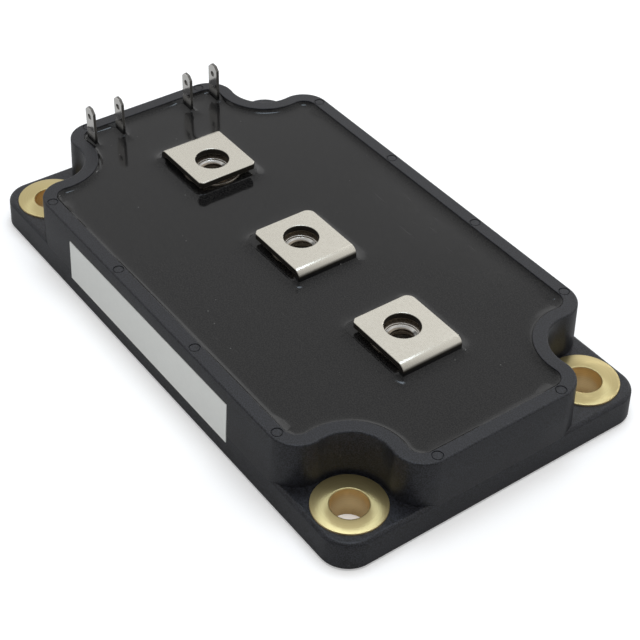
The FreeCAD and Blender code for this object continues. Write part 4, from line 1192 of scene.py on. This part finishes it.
def bevelled_copy(node_name, name, width, segments, longer=0.0, clipped=None):
    """A copy of a solid with fine round edges; its part above the rim can be made longer."""
    bm = bmesh.new()
    bm.from_mesh(nodes[node_name].data)
    bmesh.ops.remove_doubles(bm, verts=bm.verts, dist=MERGE_REACH)
    for vert in bm.verts:
        if vert.co.z > (RIM_TOP + 1) * MM:
            vert.co.z += longer
    if clipped:
        clip_corner(bm, *clipped)
    bmesh.ops.dissolve_limit(bm, angle_limit=FLAT_LIMIT, verts=bm.verts, edges=bm.edges)
    for face in bm.faces:
        angles = [edge.calc_face_angle(0) for edge in face.edges if len(edge.link_faces) == 2]
        face.smooth = sum(FLAT_LIMIT < angle < BEVEL_LIMIT for angle in angles) > 1
    rounded = bmesh.ops.bevel(
        bm, geom=sharp_edges(bm, BEVEL_LIMIT), offset=width, offset_type="OFFSET", segments=segments,
        profile=0.5, affect="EDGES", clamp_overlap=True,
    )
    for face in rounded["faces"]:
        face.smooth = True
    make_piece(bm, name, node_name)


for node_name, side in TERMINAL_SIDES.items():
    low, high = box_of(node_name)
    clipped = (low.x if side > 0 else high.x, side)
    bevelled_copy(node_name, node_name.replace("power", "stamped"), TAB_BEVEL, 3, clipped=clipped)
for node_name in PINS:
    bevelled_copy(node_name, f"stamped_{node_name}", PIN_BEVEL, 2, longer=PIN_EXTRA)

# %% [markdown]
# Each terminal nut is a hexagon with a round flange. Through the tab's hole one sees the rim of its
# bore and the first turns of the thread. The body is spun from a profile, and the thread is a
# ridge swept along a helix: a rule, so Geometry Nodes build it once and place it in all three
# nuts. The result is turned into a plain mesh and joins the bodies.

# %% Nuts
NUT_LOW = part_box("terminal_nuts")[0].z / MM
NUT_HALF_WIDTH = 4.0
THREAD_OUTER = 2.5
THREAD_PITCH = 0.8
THREAD_TURNS = 5.0
THREAD_START = 0.35
NUT_PROFILE = (
    (THREAD_OUTER, NUT_LOW + 0.3),
    (THREAD_OUTER + 0.3, NUT_LOW),
    (NUT_HALF_WIDTH - 0.05, NUT_LOW),
    (NUT_HALF_WIDTH, NUT_LOW + 0.05),
    (NUT_HALF_WIDTH, NUT_SEAT),
    (NUT_FLANGE_RADIUS, NUT_SEAT),
    (NUT_FLANGE_RADIUS, NUT_TOP - 0.12),
    (NUT_FLANGE_RADIUS - 0.04, NUT_TOP - 0.04),
    (NUT_FLANGE_RADIUS - 0.12, NUT_TOP),
    (2.98, NUT_TOP),
    (2.84, NUT_TOP - 0.08),
    (2.81, NUT_TOP - 0.3),
    (2.68, NUT_TOP - 0.34),
    (2.64, NUT_TOP - 0.38),
    (THREAD_OUTER, NUT_TOP - 0.75),
)


def make_thread_tree():
    """A ridge along a helix, once at every point that the tree is given."""
    tree = bpy.data.node_groups.new("thread_ridge", "GeometryNodeTree")
    tree.interface.new_socket("Geometry", in_out="INPUT", socket_type="NodeSocketGeometry")
    sizes = {"Outer Radius": THREAD_OUTER * MM, "Pitch": THREAD_PITCH * MM, "Turns": THREAD_TURNS}
    take_numbers(tree, sizes)
    tree.interface.new_socket("Finish", in_out="INPUT", socket_type="NodeSocketMaterial")
    tree.interface.new_socket("Geometry", in_out="OUTPUT", socket_type="NodeSocketGeometry")
    source = tree.nodes.new("NodeGroupInput").outputs
    radius = source["Outer Radius"]
    tall = times(source["Pitch"], source["Turns"])
    coil = {"Start Radius": radius, "End Radius": radius, "Height": tall, "Rotations": source["Turns"]}
    helix = add_node(tree, "GeometryNodeCurveSpiral", {"Resolution": 48, **coil}).outputs["Curve"]
    bar = {"Resolution": 4, "Radius": times(source["Pitch"], 0.5)}
    ridge = add_node(tree, "GeometryNodeCurvePrimitiveCircle", bar).outputs["Curve"]
    swept = {"Curve": helix, "Profile Curve": ridge, "Fill Caps": True}
    thread = add_node(tree, "GeometryNodeCurveToMesh", swept).outputs["Mesh"]
    spread = {"Points": source["Geometry"], "Instance": thread}
    copies = add_node(tree, "GeometryNodeInstanceOnPoints", spread).outputs["Instances"]
    whole = add_node(tree, "GeometryNodeRealizeInstances", {"Geometry": copies}).outputs["Geometry"]
    dressed = {"Geometry": whole, "Material": source["Finish"]}
    finish = add_node(tree, "GeometryNodeSetMaterial", dressed).outputs["Geometry"]
    add_node(tree, "NodeGroupOutput", {"Geometry": finish})
    return tree


def grow(name, tree, points, material):
    """Run a tree on a few points and keep the result as a plain mesh."""
    seeds = bpy.data.meshes.new(name + "_points")
    seeds.from_pydata(points, [], [])
    carrier = put(name + "_points", seeds)
    modifier = carrier.modifiers.new("grow", "NODES")
    modifier.node_group = tree
    finish = next(item for item in tree.interface.items_tree if item.name == "Finish")
    modifier[finish.identifier] = material
    depsgraph = bpy.context.evaluated_depsgraph_get()
    mesh = bpy.data.meshes.new_from_object(carrier.evaluated_get(depsgraph))
    bpy.data.objects.remove(carrier)
    mesh.name = name
    return mesh


thread_low = NUT_TOP - THREAD_START - THREAD_TURNS * THREAD_PITCH
thread_points = [(middle * MM, 0, thread_low * MM) for _, middle in TERMINALS]
thread_mesh = grow("nut_threads", make_thread_tree(), thread_points, FINISHES["nut_steel"])
print("thread", len(thread_mesh.polygons), "faces")


def build_nuts():
    bm = bmesh.new()
    for _, middle in TERMINALS:
        rings = turned_rings(bm, middle, 0, NUT_PROFILE)
        join_all(bm, rings + rings[:1])
    bm.from_mesh(thread_mesh)
    finish_mesh(bm, "flanged_nuts", "terminal_nuts")


build_nuts()
